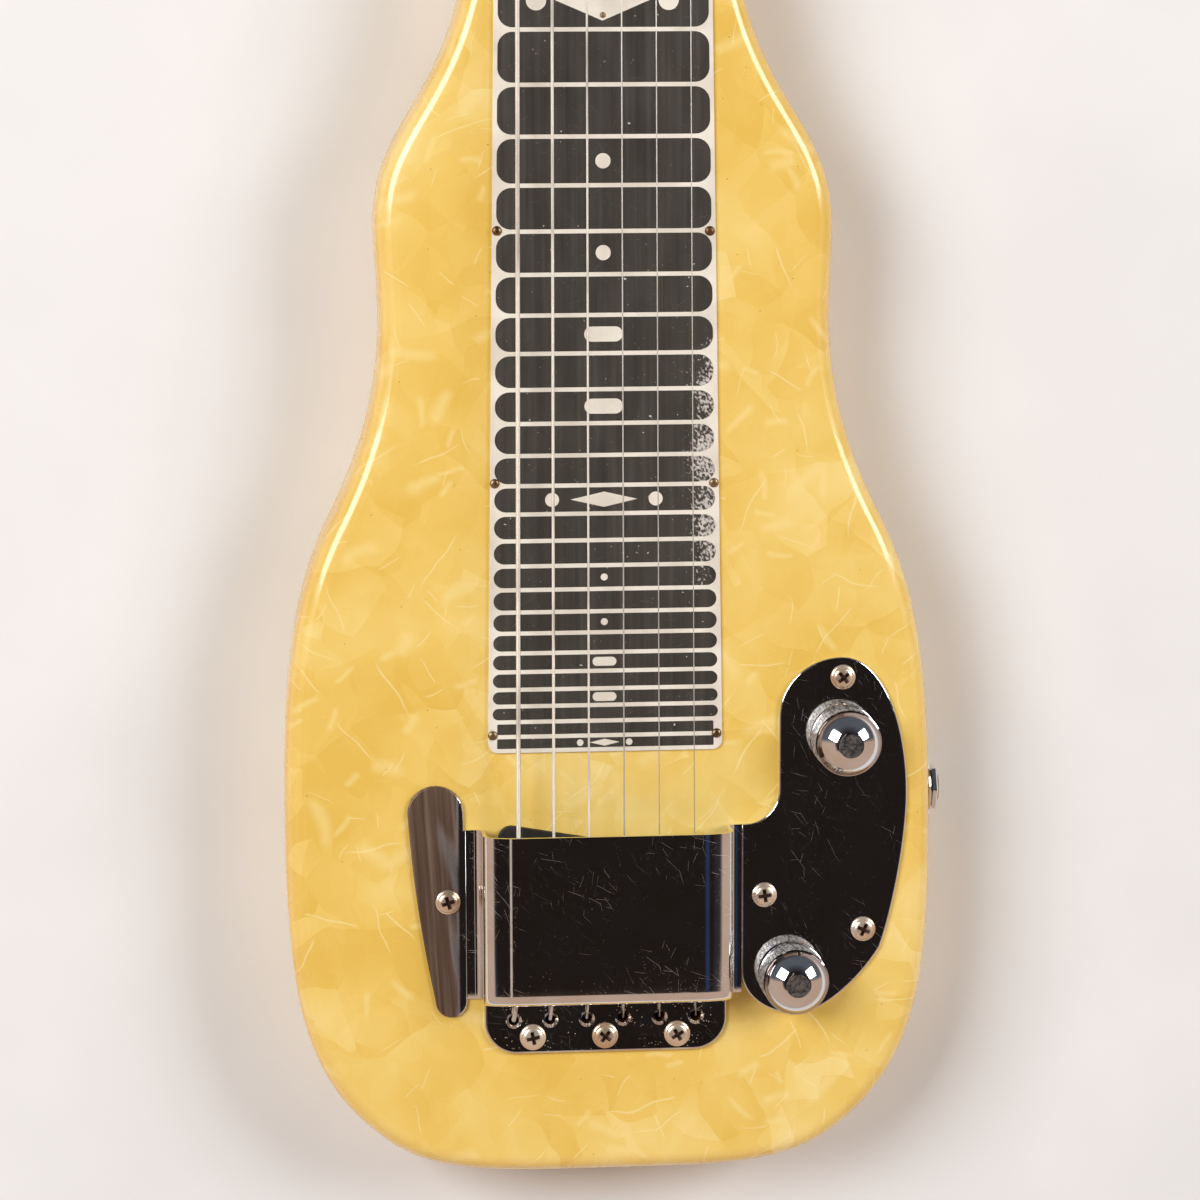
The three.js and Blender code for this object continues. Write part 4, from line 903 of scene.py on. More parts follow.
@dataclass(frozen=True)
class Metal:
    """A metal surface with its own age: clouding, scratches, pits and, on a knob, a knurl; the knurl's colour
    holds painted highlights, painted glints and painted shade, and the dome's edge a painted warm reflection.
    """

    name: str
    bright: tuple = tint(232, 233, 236)
    dull: tuple = tint(226, 223, 221)
    rough: float = 0.045
    haze: float = 0.05
    scratch: float = 0.5
    pits: float = 0.0
    brushed: float = 0.0
    metallic: float = 1.0
    knurl_at: Optional[Flat] = None
    ridges: int = 40
    ridge_lean: float = 0.42
    stain_left_of: Optional[float] = None

    def scratches(self, p: Paint) -> Socket:
        """Fine straight scratches, some crossing, from 0 to 1."""
        here = p.fade(p.cloud(18, 0, 1.0), 0.36, 0.6)
        long = p.most(p.strokes(6.5, 0.09, 12, 0.2, -40, 70), p.strokes(4.2, 0.07, 7, 0.25, -58, 120))
        short = p.most(p.strokes(2.5, 0.07, 2.6, 0.3, -30, 240), p.strokes(3.6, 0.07, 5, 0.4, 70, 90))
        return p.times(p.most(long, p.times(short, 0.6)), here)

    def knurl(self, p: Paint) -> Socket:
        """Crossed ridges round a knob's wall, as a height."""
        here = p.placed(at=(*self.knurl_at, 0))
        angle = p.number("ARCTAN2", p.axis(here, "Y"), p.axis(here, "X"))
        round_way = p.times(angle, self.ridges / (2 * math.pi))
        up_way = p.times(p.axis(here, "Z"), self.ridge_lean)
        turned = [p.number(work, round_way, up_way) for work in ("ADD", "SUBTRACT")]
        crossed = [p.number("PINGPONG", way, 0.5) for way in turned]
        wall = p.fade(p.upright(), 0.15, 0.4, 1.0, 0.0)
        wall = p.times(wall, p.number("LESS_THAN", p.axis(here, "Z"), KNOB_RIM))
        return p.times(p.plus(*crossed), wall)

    def rim(self, p: Paint, here: Socket, away: Socket) -> Socket:
        """The dome's steep edge, which takes a painted warm reflection.

        Args:
            p: The tree.
            here: Coordinates from the middle of the knob's top.
            away: Their length.

        Returns:
            Values from 0 to 1.
        """
        above = p.number("GREATER_THAN", p.axis(here, "Z"), KNOB_RIM - KNOB_TOP)
        return p.times(p.fade(away, 8.6, 9.6), above)

    def stain(self, p: Paint) -> tuple[Socket, Socket]:
        """Brown tarnish beyond a line across.

        Args:
            p: The tree.

        Returns:
            Where it lies, from 0 to 1, and its streaks.
        """
        streaks = p.noise((1.3, 60, 40), 4, 3.0)
        beyond = p.fade(p.axis(p.placed(), "X"), self.stain_left_of - 1.5, self.stain_left_of, 1.0, 0.0)
        return p.times(beyond, p.fade(p.noise((8, 60, 9), 8, 1.0), 0.22, 0.4)), streaks

    def paint(self) -> bpy.types.Material:
        """Builds the material."""
        p = Paint(self.name)
        colour = p.ramp(p.cloud(13, 20, 4.0), [(0.38, self.dull), (0.6, self.bright)])
        rough = p.fade(p.noise((8, 11, 8), 15, 3.0), 0.35, 0.7, self.rough, self.rough + self.haze)
        marks = self.scratches(p)
        rough = p.plus(rough, p.times(marks, 0.26 * self.scratch), True)
        normal = p.bump(marks, 0.01, 0.4 * self.scratch)
        if self.brushed:
            grain = p.noise((0.12, 22, 0.12), 0, 2.0)
            rough = p.plus(rough, p.times(grain, 0.2 * self.brushed), True)
            normal = p.bump(grain, 0.02, 0.4 * self.brushed, normal)
        if self.pits:
            cells = p.node("TexVoronoi", {"Vector": p.placed((1.1, 1.1, 1.1)), "Scale": 1.0})
            spots = p.fade(cells.outputs["Distance"], 0.1, 0.2, 1.0, 0.0)
            spots = p.times(spots, p.fade(p.cloud(7, 0, 2.0), 0.46, 0.62))
            spots = p.times(spots, self.pits)
            rough = p.plus(rough, p.times(spots, 0.4), True)
            colour = p.blend(p.times(spots, 0.6), colour, tint(188, 178, 168))
            normal = p.bump(spots, 0.05, 0.6, normal)
        metallic = self.metallic
        if self.stain_left_of is not None:
            zone, streaks = self.stain(p)
            rough = p.blend(zone, rough, p.fade(streaks, 0.3, 0.7, 0.32, 0.42))
            metallic = p.fade(zone, 0.0, 1.0, self.metallic, 0.45)
            browns = [(0.3, tint(92, 70, 58)), (0.52, tint(112, 90, 76)), (0.72, tint(134, 114, 100))]
            colour = p.blend(zone, colour, p.ramp(streaks, browns))
        if self.knurl_at:
            ridges = self.knurl(p)
            normal = p.bump(ridges, 0.35, 1.0, normal)
            knurled_band = p.fade(ridges, 0.0, 0.1)
            here = p.placed(at=(*self.knurl_at, KNOB_TOP))
            away = p.node("VectorMath", {0: here}, operation="LENGTH").outputs["Value"]
            dish = p.fade(away, 3.5, 3.7, 1.0, 0.0)
            rough = p.plus(rough, p.times(knurled_band, 0.3), True)
            rough = p.plus(rough, p.times(dish, 0.26), True)
            metallic = p.fade(knurled_band, 0.0, 1.0, self.metallic, 0.55)
            # Painted glints: bright specks that stand for highlights off the knurl's points.
            glints = p.fade(p.noise((0.6, 0.6, 3.6), 0, 1.0), 0.44, 0.58)
            # Painted shade in the grooves and a painted highlight on the crests; between glints the ridges
            # are painted darker.
            teeth = p.ramp(ridges, [(0.3, tint(66, 60, 56)), (0.62, tint(255, 250, 244))])
            teeth = p.blend(p.fade(glints, 0.0, 1.0, 0.55, 0.0), teeth, tint(60, 56, 54))
            # The knurled band's colour is these painted highlights, glints and shade.
            colour = p.blend(knurled_band, colour, p.blend(p.times(glints, 0.5), teeth, tint(255, 252, 248)))
            greys = [(0.36, tint(122, 122, 126)), (0.62, tint(206, 204, 202))]
            spun = p.ramp(p.cloud(1.0, 0, 3.0), greys)
            colour = p.blend(dish, colour, spun)
            # A brown tint on the dome's steep edge: a painted reflection of a warm room.
            colour = p.blend(p.times(self.rim(p, here, away), 0.7), colour, tint(120, 84, 62))
        return p.close(Base_Color=colour, Metallic=metallic, Roughness=rough, Normal=normal)


@dataclass(frozen=True)
class PrintedBlack:
    """Black enamel printed on the fretboard metal, rubbed through where a hand has rested."""

    name: str = "fret_enamel"
    worn_at: Flat = (29.5, 157.0)

    def paint(self) -> bpy.types.Material:
        """Builds the material."""
        p = Paint(self.name)
        streaks = p.noise((1.4, 60, 10), 0, 3.0)
        blacks = [(0.3, tint(54, 51, 46)), (0.55, tint(64, 60, 54)), (0.75, tint(74, 70, 63))]
        colour = p.ramp(streaks, blacks)
        marks = p.strokes(6, 0.14, 5, 0.55, 10, 120)
        colour = p.blend(p.times(marks, 0.35), colour, tint(120, 118, 112))
        here = p.placed(at=(*self.worn_at, 0))
        across = p.fade(p.axis(here, "X"), -9.0, 2.0)
        along = p.fade(p.number("ABSOLUTE", p.axis(here, "Y")), 20.0, 48.0, 1.0, 0.0)
        rubbed = p.times(across, along)
        fine = p.times(p.noise((0.7, 1.1, 1), 30, 8.0), 0.85)
        grain = p.plus(fine, p.times(p.noise((6, 11, 6), 0, 2.0), 0.3))
        bare = p.fade(p.plus(grain, p.times(rubbed, 0.26)), 0.74, 0.9)
        chips = p.fade(p.cloud(1.3, 0, 3.0), 0.735, 0.76)
        bare = p.most(bare, chips)
        colour = p.blend(bare, colour, tint(205, 198, 190))
        rough = p.fade(p.noise((6, 20, 6), 0, 3.0), 0.3, 0.7, 0.34, 0.5)
        normal = p.bump(p.number("SUBTRACT", 1.0, bare), 0.05, 0.6)
        return p.close(Base_Color=colour, Roughness=rough, Normal=normal)


@dataclass(frozen=True)
class Wire:
    """String wire, plain or with its winding."""

    name: str
    pitch: float = 0.0
    colour: tuple = tint(222, 220, 214)
    metallic: float = 0.85

    def paint(self) -> bpy.types.Material:
        """Builds the material."""
        p = Paint(self.name)
        tarnish = p.noise((3, 34, 3), 0, 4.0)
        colour = p.ramp(tarnish, [(0.3, tint(176, 168, 158)), (0.5, self.colour)])
        rough = p.fade(tarnish, 0.3, 0.7, 0.42, 0.28)
        normal = p.bump(p.cloud(0.4, 0, 2.0), 0.01, 0.3)
        if self.pitch:
            turns = p.number("SINE", p.times(p.axis(p.placed(), "Y"), 2 * math.pi / self.pitch))
            normal = p.bump(turns, self.pitch * 0.12, 0.7, normal)
        return p.close(Base_Color=colour, Metallic=self.metallic, Roughness=rough, Normal=normal)


@dataclass(frozen=True)
class Stuff:
    """A plain stuff with clouding, grain and a slight relief."""

    name: str
    dark: tuple
    light: tuple
    grain: Place = (4, 4, 4)
    rough: tuple = (0.4, 0.6)
    relief: float = 0.1
    metallic: float = 0.0

    def paint(self) -> bpy.types.Material:
        """Builds the material."""
        p = Paint(self.name)
        cloud = p.noise(self.grain, 6, 5.0)
        fine = p.noise([v * 0.14 for v in self.grain], -9, 3.0)
        mixed = p.plus(p.times(cloud, 0.7), p.times(fine, 0.3))
        colour = p.ramp(mixed, [(0.34, self.dark), (0.66, self.light)])
        rough = p.fade(fine, 0.3, 0.7, *self.rough)
        normal = p.bump(mixed, self.relief, 0.5)
        return p.close(Base_Color=colour, Metallic=self.metallic, Roughness=rough, Normal=normal)


class Finishes:
    """Every finish on the instrument, each painted once."""

    def __init__(self) -> None:
        """Paints the finishes."""
        self.pearloid = Pearloid().paint()
        self.enamel = PrintedBlack().paint()
        self.plain_wire = Wire("plain_wire").paint()
        self.wound_wire = Wire("wound_wire", 0.45, tint(240, 233, 222), 0.35).paint()
        self.paint_metals()
        self.paint_stuffs()

    def paint_metals(self) -> None:
        """Paints what is bare or plated metal."""
        silver, cream = tint(238, 232, 219), tint(222, 214, 200)
        nickel, amber = tint(236, 220, 200), tint(212, 184, 156)
        steel, shade = tint(206, 204, 200), tint(168, 160, 152)
        self.cover = Metal("cover_chrome", scratch=1.0, haze=0.025, pits=0.25, stain_left_of=-44.0).paint()
        self.bridge = Metal("bridge_chrome", dull=tint(212, 204, 198), scratch=0.7, pits=1.0).paint()
        self.chrome = Metal("chrome", scratch=0.4).paint()
        self.steel = Metal("tuner_steel", steel, shade, 0.22, 0.15, 0.5, 0.4, 0.5).paint()
        self.screw = Metal("screw_nickel", nickel, amber, 0.24, 0.12, 0.7, 0.3, metallic=0.72).paint()
        self.dark_steel = Metal(
            "dark_steel", tint(150, 148, 146), tint(104, 98, 92), 0.32, 0.18, 0.4, 0.4
        ).paint()
        self.brass = Metal("dull_brass", tint(190, 158, 92), tint(140, 108, 58), 0.3, 0.16, 0.5, 0.4).paint()
        self.nail = Metal("nail_brass", tint(170, 148, 118), tint(116, 88, 62), 0.34, 0.2, 0.3, 0.8).paint()
        self.board = Metal("board_silver", silver, cream, 0.42, 0.1, 0.4, 0.15, 0.35, 0.0).paint()

    def paint_stuffs(self) -> None:
        """Paints what isn't shiny metal."""
        rust, bright_copper = tint(110, 54, 26), tint(178, 104, 56)
        timber, pale_timber = tint(150, 104, 58), tint(206, 164, 108)
        cotton, pale_cotton = tint(196, 188, 168), tint(232, 226, 208)
        cream, pale_cream = tint(232, 220, 190), tint(247, 240, 220)
        grains, fine = (3, 9, 3), (0.8, 0.8, 0.8)
        # Dark brown for the screws' cross recesses: painted shade, not dirt.
        self.recess_shade = Stuff("recess_painted_shade", tint(44, 26, 16), tint(84, 52, 34), fine, (0.4, 0.7)).paint()
        self.fibre = Stuff("black_fibre", tint(20, 17, 15), tint(44, 38, 33), grains, (0.45, 0.7)).paint()
        self.wood = Stuff("bare_wood", timber, pale_timber, (5, 90, 8), (0.55, 0.8), 0.2).paint()
        self.copper = Stuff("coil_wire", rust, bright_copper, (20, 0.5, 0.4), (0.25, 0.4), 0.1, 0.8).paint()
        self.magnet = Stuff(
            "magnet", tint(62, 62, 64), tint(98, 98, 100), (2, 2, 2), (0.5, 0.7), 0.1, 0.7
        ).paint()
        self.wax = Stuff("waxed_tube", tint(130, 44, 26), tint(186, 84, 54), (3, 3, 3), (0.3, 0.5)).paint()
        self.cloth = Stuff("lead_cloth", cotton, pale_cotton, fine, (0.7, 0.9), 0.2).paint()
        self.button = Stuff("button_cream", cream, pale_cream, (5, 5, 5), (0.18, 0.3), 0.03).paint()

    def knob(self, name: str, at: Flat) -> bpy.types.Material:
        """Chrome with a knurled wall round a knob's axis."""
        return Metal(name, scratch=0.3, haze=0.03, knurl_at=at).paint()


# Sub-assemblies


class Assembly:
    """A sub-assembly, with its sizes and the instrument's finishes."""

    def __init__(self, size: object, finishes: Finishes) -> None:
        """Keeps the sizes and finishes."""
        self.size = size
        self.finishes = finishes


@dataclass(frozen=True)
class BodySize:
    """Sizes of the body and neck, in mm."""

    crown: float = 694.0
    head_corner: Flat = (26.0, 675.0)
    head_radius: float = 15.0
    flare: Flat = (41.0, 597.5)
    nut_end: Flat = (33.7, 571.5)
    neck_low: Flat = (37.0, 334.3)
    neck_root: Flat = (68.1, 227.3)
    shoulder: Flat = (67.0, 201.9)
    waist: Flat = (83.1, 139.5)
    flank: Flat = (97.9, 41.7)
    corner: Flat = (68.1, -49.9)
    tail: float = -60.2
    lean: float = 1.9
    lean_from: float = 394.3
    seam: float = 20.0
    cut_off: float = 0.1
    edge: float = 6.0
    wall: float = 1.0
    head_face: float = 28.0
    head_back: float = 14.5
    inner: float = 0.4
    string_hole: float = 2.4
    post_hole: float = 3.3
    jack_hole: float = 5.0
    well: float = 11.0
    corridor: float = 15.0
    channel: Flat = (65.6, 5.0)
    pocket: Flat = (55.0, 16.5)
    pocket_middle: Flat = (0.0, 35.0)
    pocket_turn: float = -5.0
    recess: Flat = (67.6, 11.6)


class BodyShell(Assembly):
    """The pearloid wrap: a front piece and a back piece that meet half way down the side."""

    size: BodySize

    def lean(self, y: float) -> float:
        """How far the middle of the body lies off the axis at a place along it."""
        return self.size.lean * min(max(1 - y / self.size.lean_from, 0.0), 1.0)

    def outline(self) -> list[Flat]:
        """The body's outline, from the side points and the slopes between them."""
        s = self.size
        flank = (math.cos(1.1), -math.sin(1.1))
        corner = (-math.cos(0.64), -math.sin(0.64))
        root, shoulder = drop(s.neck_root, s.neck_low), drop(s.shoulder, s.neck_root)
        waist, side, bout = drop(s.waist, s.shoulder), drop(s.flank, s.waist), drop(s.corner, s.flank)
        tail = drop((0, s.tail), s.corner)
        slope = (s.neck_low[0] - s.nut_end[0]) / drop(s.neck_low, s.nut_end)
        half = [(0.0, s.crown)] + arc(s.head_corner, s.head_radius, 90, 0, 12)
        half += bezier(s.flare, (0, -13), (0, 13), s.nut_end, 10)
        half += bezier(s.neck_low, (slope * 0.667 * root, -0.667 * root), (0, 0.347 * root), s.neck_root, 30)
        half += bezier(s.neck_root, (0, -0.12 * shoulder), (0, 0.2 * shoulder), s.shoulder, 6)
        half += bezier(s.shoulder, (0, -0.405 * waist), toward(flank, -0.337 * waist), s.waist, 16)
        half += bezier(s.waist, toward(flank, 0.29 * side), (0, 0.442 * side), s.flank, 22)
        half += bezier(s.flank, (0, -0.533 * bout), toward(corner, -0.336 * bout), s.corner, 24)
        half += bezier(s.corner, toward(corner, 1.85 * tail), (3 * tail, 0), (0.0, s.tail), 14)
        right = [(x + self.lean(y), y) for x, y in half]
        left = [(self.lean(y) - x, y) for x, y in reversed(half)]
        return list(reversed(without_doubles(right + left)))

    def step(self, piece: Piece, start: float, end: float, rows: int, heights: Flat) -> None:
        """Thins everything beyond a line across the neck.

        Args:
            piece: The half of the wrap.
            start: Where the step starts along Y.
            end: Where it ends.
            rows: Rows of vertices in the step.
            heights: Distance of the outside from the seam before and after it.
        """
        before = heights[0]
        for row in range(rows + 1):
            share = row / rows
            y = start + (end - start) * share
            Bench.edit(piece)
            bpy.ops.mesh.bisect(plane_co=(0, y * MM, 0), plane_no=(0, 1, 0))
            after = heights[0] + (heights[1] - heights[0]) * share * share * (3 - 2 * share)
            Bench.choose(piece, (-200, y - 0.01, -10), (200, 900, 60))
            seam = (0, 0, self.size.seam * MM)
            bpy.ops.transform.resize(value=(1, 1, after / before), center_override=seam)
            bpy.ops.object.mode_set(mode="OBJECT")
            before = after

    def drills(self) -> Piece:
        """The tools for the string holes and the post holes."""
        s = self.size
        spots = [((string_x(i, HOLE_PITCH), STRING_ROW), s.string_hole) for i in range(6)]
        spots += [((side * POST_X, y), s.post_hole) for side in (-1, 1) for y in POST_ROWS]
        tools = [Bench.slab("drill", disc(at, radius, 20), -5, 60) for at, radius in spots]
        return Bench.join("drills", tools)

    def jack_drill(self) -> Piece:
        """The tool for the jack's hole."""
        radius = self.size.jack_hole
        return Bench.turned("jack_drill", [(radius, 0), (radius, 30)], (80, *JACK_AT), Facing.RIGHT, 24)

    def openings(self) -> list[Piece]:
        """The tools for what is cut into the face: the pickup, the controls and the wires' channels."""
        s = self.size
        rise = math.degrees(math.atan2(VOLUME_AT[1] - TONE_AT[1], VOLUME_AT[0] - TONE_AT[0]))
        middle = ((VOLUME_AT[0] + TONE_AT[0]) / 2, (VOLUME_AT[1] + TONE_AT[1]) / 2)
        corridor = round_box(middle, math.dist(VOLUME_AT, TONE_AT), s.corridor, 0.6, 2)
        outlines = [
            turned_about(round_box(s.pocket_middle, *s.pocket, 3), s.pocket_middle, s.pocket_turn),
            disc(VOLUME_AT, s.well, 40),
            disc(TONE_AT, s.well, 40),
            turned_about(corridor, middle, rise),
            round_box((s.channel[0] / 2, 36), *s.channel, 0.6, 2),
        ]
        return [Bench.slab("opening", outline, 28, 40) for outline in outlines]

    def half_shell(self, name: str, up: int, step_at: Flat, rows: int, heights: Flat) -> Piece:
        """One half of the wrap, as a hollow shell that is open at the seam.

        Args:
            name: Name of the piece.
            up: 1 for the front and -1 for the back.
            step_at: Where the step to the head starts and ends along Y.
            rows: Rows of vertices in that step.
            heights: Distance of the outside from the seam before and after it.

        Returns:
            The shell.
        """
        s = self.size
        outline = self.outline() if up > 0 else list(reversed(self.outline()))
        piece = Bench.level(name, outline, s.seam + up * s.cut_off)
        Bench.edit(piece)
        Bench.push((0, 0, up * (heights[0] - s.edge - s.cut_off)))
        Bench.round_over(s.edge, 8)
        Bench.draw_in(s.inner, 0)
        self.step(piece, *step_at, rows, heights)
        low, high = sorted((s.seam, s.seam + up * 2 * s.cut_off))
        Bench.drop_faces(piece, (-200, -200, low), (200, 900, high))
        Bench.thicken(piece, s.wall)
        return piece

    def front(self) -> Piece:
        """Builds the front piece."""
        s = self.size
        heights = (FACE - s.seam, s.head_face - s.seam)
        piece = self.half_shell("front_wrap", 1, (579, 588), 6, heights)
        Bench.carve(piece, [*self.openings(), self.drills(), self.jack_drill()])
        return Bench.tidy(piece, 24)

    def back(self) -> Piece:
        """Builds the back piece."""
        s = self.size
        heights = (s.seam, s.seam - s.head_back)
        piece = self.half_shell("back_wrap", -1, (566, 578), 8, heights)
        recess = Bench.slab("recess", round_box((STRING_CENTRE, STRING_ROW), *s.recess, 3.6), -5, 3.8)
        Bench.carve(piece, [recess, self.drills(), self.jack_drill()])
        return Bench.tidy(piece, 24)

    def build(self) -> None:
        """Builds and dresses both pieces."""
        for piece, solid in ((self.front(), "front_covering"), (self.back(), "back_covering")):
            settle(piece, self.finishes.pearloid, stands_for=[solid])


@dataclass(frozen=True)
class BoardSize:
    """Sizes of the fretboard plate and its print, in mm."""

    foot: float = 70.7
    corner: float = 3.0
    half_at_bridge: float = 36.3
    narrowing: float = 8.0
    frets: int = 36
    line: float = 0.65
    border: float = 1.2
    cell_corner: float = 4.3
    last_border: float = 2.6
    last_corner: float = 0.3
    axis: float = -0.3


class Marker(Enum):
    """Shapes of the position markers."""

    DOT = "dot"
    PILL = "pill"
    DIAMOND = "diamond"


@dataclass(frozen=True)
class Mark:
    """A marker in a fret's cell: its shape, width, height and place across the board."""

    fret: int
    shape: Marker
    width: float
    height: float
    across: float = 0.0


MARKS = (
    Mark(3, Marker.DOT, 7.0, 7.0),
    Mark(5, Marker.DOT, 7.0, 7.0),
    Mark(7, Marker.PILL, 17.0, 6.6),
    Mark(9, Marker.PILL, 16.0, 6.2),
    Mark(12, Marker.DIAMOND, 28.0, 12.0),
    Mark(12, Marker.DOT, 6.0, 6.0, -19.5),
    Mark(12, Marker.DOT, 6.0, 6.0, 19.5),
    Mark(15, Marker.DOT, 4.5, 4.5),
    Mark(17, Marker.DOT, 4.5, 4.5),
    Mark(19, Marker.PILL, 11.5, 4.5),
    Mark(21, Marker.PILL, 11.5, 4.5),
    Mark(24, Marker.DIAMOND, 20.0, 4.6),
    Mark(24, Marker.DOT, 4.2, 4.2, -15.5),
    Mark(24, Marker.DOT, 4.2, 4.2, 15.5),
    Mark(27, Marker.DOT, 2.1, 2.1),
    Mark(29, Marker.DOT, 2.1, 2.1),
    Mark(31, Marker.PILL, 7.2, 2.7),
    Mark(33, Marker.PILL, 7.2, 2.7),
    Mark(36, Marker.DIAMOND, 9.0, 2.1),
    Mark(36, Marker.DOT, 2.0, 2.0, -7.4),
    Mark(36, Marker.DOT, 2.0, 2.0, 7.4),
)

SMALL_NAIL = (-0.2, 289.9)
NAILS = (
    (-31.7, 227.1), (31.4, 226.6), (-32.9, 152.2), (32.7, 151.6), (-34.0, 76.2), (33.6, 75.7), SMALL_NAIL,
    (-30.9, 303.0), (30.9, 303.0), (-29.8, 379.0), (29.8, 379.0), (-28.8, 455.0), (28.8, 455.0),
    (-27.7, 531.0), (27.7, 531.0),
)


class Fretboard(Assembly):
    """The long metal plate with its printed frets and markers, and the nails that hold it."""

    size: BoardSize

    def half(self, y: float) -> float:
        """Half the plate's width at a place along the strings."""
        return self.size.half_at_bridge - self.size.narrowing * y / SCALE_LENGTH

    def fret(self, number: int) -> float:
        """Where a fret lies along the strings."""
        return SCALE_LENGTH * 2 ** (-number / 12)

    def plate(self) -> Piece:
        """The plate itself."""
        s = self.size
        low, wide = s.foot + s.corner, self.half(s.foot) - s.corner
        outline = arc((-wide, low), s.corner, 180, 270, 8) + arc((wide, low), s.corner, 270, 360, 8)
        outline += [(self.half(SCALE_LENGTH), SCALE_LENGTH), (-self.half(SCALE_LENGTH), SCALE_LENGTH)]
        return Bench.slab("fretboard", outline, FACE, BOARD_TOP, 0.15, 2)

    def cell(self, number: int) -> Piece:
        """The black field below a fret; the last two are square and narrower."""
        s = self.size
        low, high = self.fret(number) + s.line, self.fret(number - 1) - s.line
        last = number > s.frets - 2
        border, most = (s.last_border, s.last_corner) if last else (s.border, s.cell_corner)
        middle = (low + high) / 2
        wide = 2 * (self.half(middle) - border)
        outline = round_box((0, middle), wide, high - low, min((high - low) / 2 - 0.02, most), 8)
        outline = [(x * (self.half(y) - border) * 2 / wide, y) for x, y in outline]
        return Bench.slab(f"fret_field_{number:02d}", outline, BOARD_TOP - 0.02, BOARD_TOP + 0.06)

    def mark(self, mark: Mark) -> Piece:
        """One marker, a thin film on its field."""
        middle = (self.size.axis + mark.across, (self.fret(mark.fret) + self.fret(mark.fret - 1)) / 2)
        w, h = mark.width / 2, mark.height / 2
        if mark.shape is Marker.DIAMOND:
            outline = [(middle[0] + x, middle[1] + y) for x, y in ((w, 0), (0, h), (-w, 0), (0, -h))]
        else:
            outline = round_box(middle, mark.width, mark.height, h - 0.01, 8)
        return Bench.slab("marker", outline, BOARD_TOP + 0.02, BOARD_TOP + 0.09)

    def build(self) -> None:
        """Builds and dresses the plate, the print and the nails."""
        f = self.finishes
        settle(self.plate(), f.board, stands_for=["fretboard_plate"])
        cells = [self.cell(number) for number in range(1, self.size.frets + 1)]
        settle(Bench.join("fret_fields", cells), f.enamel)
        settle(Bench.join("position_markers", [self.mark(mark) for mark in MARKS]), f.board)
        dome = [(1.45, -0.3), (1.45, 0.1), (1.3, 0.36), (1.0, 0.58), (0.55, 0.7), (0.15, 0.74)]
        nail = Bench.turned("nail", dome, (0, 0, 0), sides=24)
        for number, (x, y) in enumerate(NAILS, 1):
            lean = Matrix.Rotation(math.radians(4 * math.sin(5 * number)), 4, "X")
            lean = lean @ Matrix.Scale(0.62 if (x, y) == SMALL_NAIL else 1.0, 4)
            seat = Matrix.Translation(Vector((x, y, BOARD_TOP)) * MM)
            settle(Bench.copy(nail, f"nail_{number:02d}", seat @ lean), f.nail)
        bpy.data.objects.remove(nail)


@dataclass(frozen=True)
class StringSize:
    """One string: its thickness in mm and whether it is wound."""

    thickness: float
    wound: bool


STRINGS = (
    StringSize(1.32, True),
    StringSize(0.91, True),
    StringSize(0.66, True),
    StringSize(0.43, False),
    StringSize(0.36, False),
    StringSize(0.30, False),
)


@dataclass(frozen=True)
class RunSize:
    """How the strings run and wind, in mm."""

    nut_slot: float = 2.4
    coil_top: float = 36.0
    coil_gap: float = 0.12
    turns: float = 2.5
    turn_steps: int = 28
    span_steps: int = 48
    tip_ends: Flat = (-3.7, 3.6)


class StringSet(Assembly):
    """Six strings from their balls in the back over the bridge and nut to the posts."""

    size: RunSize

    def span(self, index: int) -> list[Place]:
        """Points along a string from its hole in the back over the ridge to the nut."""
        s, thick = self.size, STRINGS[index].thickness
        hole, ridge, nut = (string_x(index, pitch) for pitch in (HOLE_PITCH, RIDGE_PITCH, NUT_PITCH))
        over, under = RIDGE_TOP + thick / 2 - 0.03, NUT_TOP + 0.25 * thick
        bend = ((STRING_ROW, 1.0), (STRING_ROW, 34.6), (-11.5, 35.8), (-11.1, 36.7))
        points = [(hole, y, z) for y, z in bend]
        points += [(ridge, -1.3, over - 0.55), (ridge, -0.7, over - 0.14), (ridge, 0.0, over)]
        for step in range(1, s.span_steps + 1):
            t = step / s.span_steps
            points.append((ridge + (nut - ridge) * t, (NUT_FAR - s.nut_slot) * t, over + (under - over) * t))
        return points + [(nut, NUT_FAR - 0.6, under - 0.2)]

    def coil(self, index: int) -> list[Place]:
        """Points of a string's windings, from the top down round its post."""
        s, thick, side = self.size, STRINGS[index].thickness, post_side(index)
        x, y = post_at(index)
        reach, fall = 3.05 + thick / 2, s.turns * (thick + s.coil_gap)
        count = int(s.turns * s.turn_steps)
        points = []
        for step in range(count + 1):
            t = step / count
            angle = 2 * math.pi * s.turns * t * -side + (0 if side < 0 else math.pi)
            points.append((x + reach * math.cos(angle), y + reach * math.sin(angle), s.coil_top - fall * t))
        return points

    def build(self) -> None:
        """Builds and dresses the strings, and the tips that turn with the posts."""
        rounds = [(1.5, 0.3), (1.9, 0.6), (1.9, 1.5), (1.5, 1.8)]
        for index, gauge in enumerate(STRINGS):
            number, radius = index + 1, gauge.thickness / 2
            ball = Bench.turned("ball", rounds, (string_x(index, HOLE_PITCH), STRING_ROW, 0), sides=20)
            wire = Bench.wire(f"wire_{number}", self.span(index) + self.coil(index), radius)
            piece = Bench.join(f"wire_{number}", [wire, ball])
            finish = self.finishes.wound_wire if gauge.wound else self.finishes.plain_wire
            settle(piece, finish, stands_for=[f"string_{number}"])
            x, y = post_at(index)
            ends = [(x + end, y, POST_EYE) for end in self.size.tip_ends]
            tip = Bench.wire(f"wire_tip_{number}", ends, radius * 0.9, 8)
            settle(tip, finish, f"post_{number}")


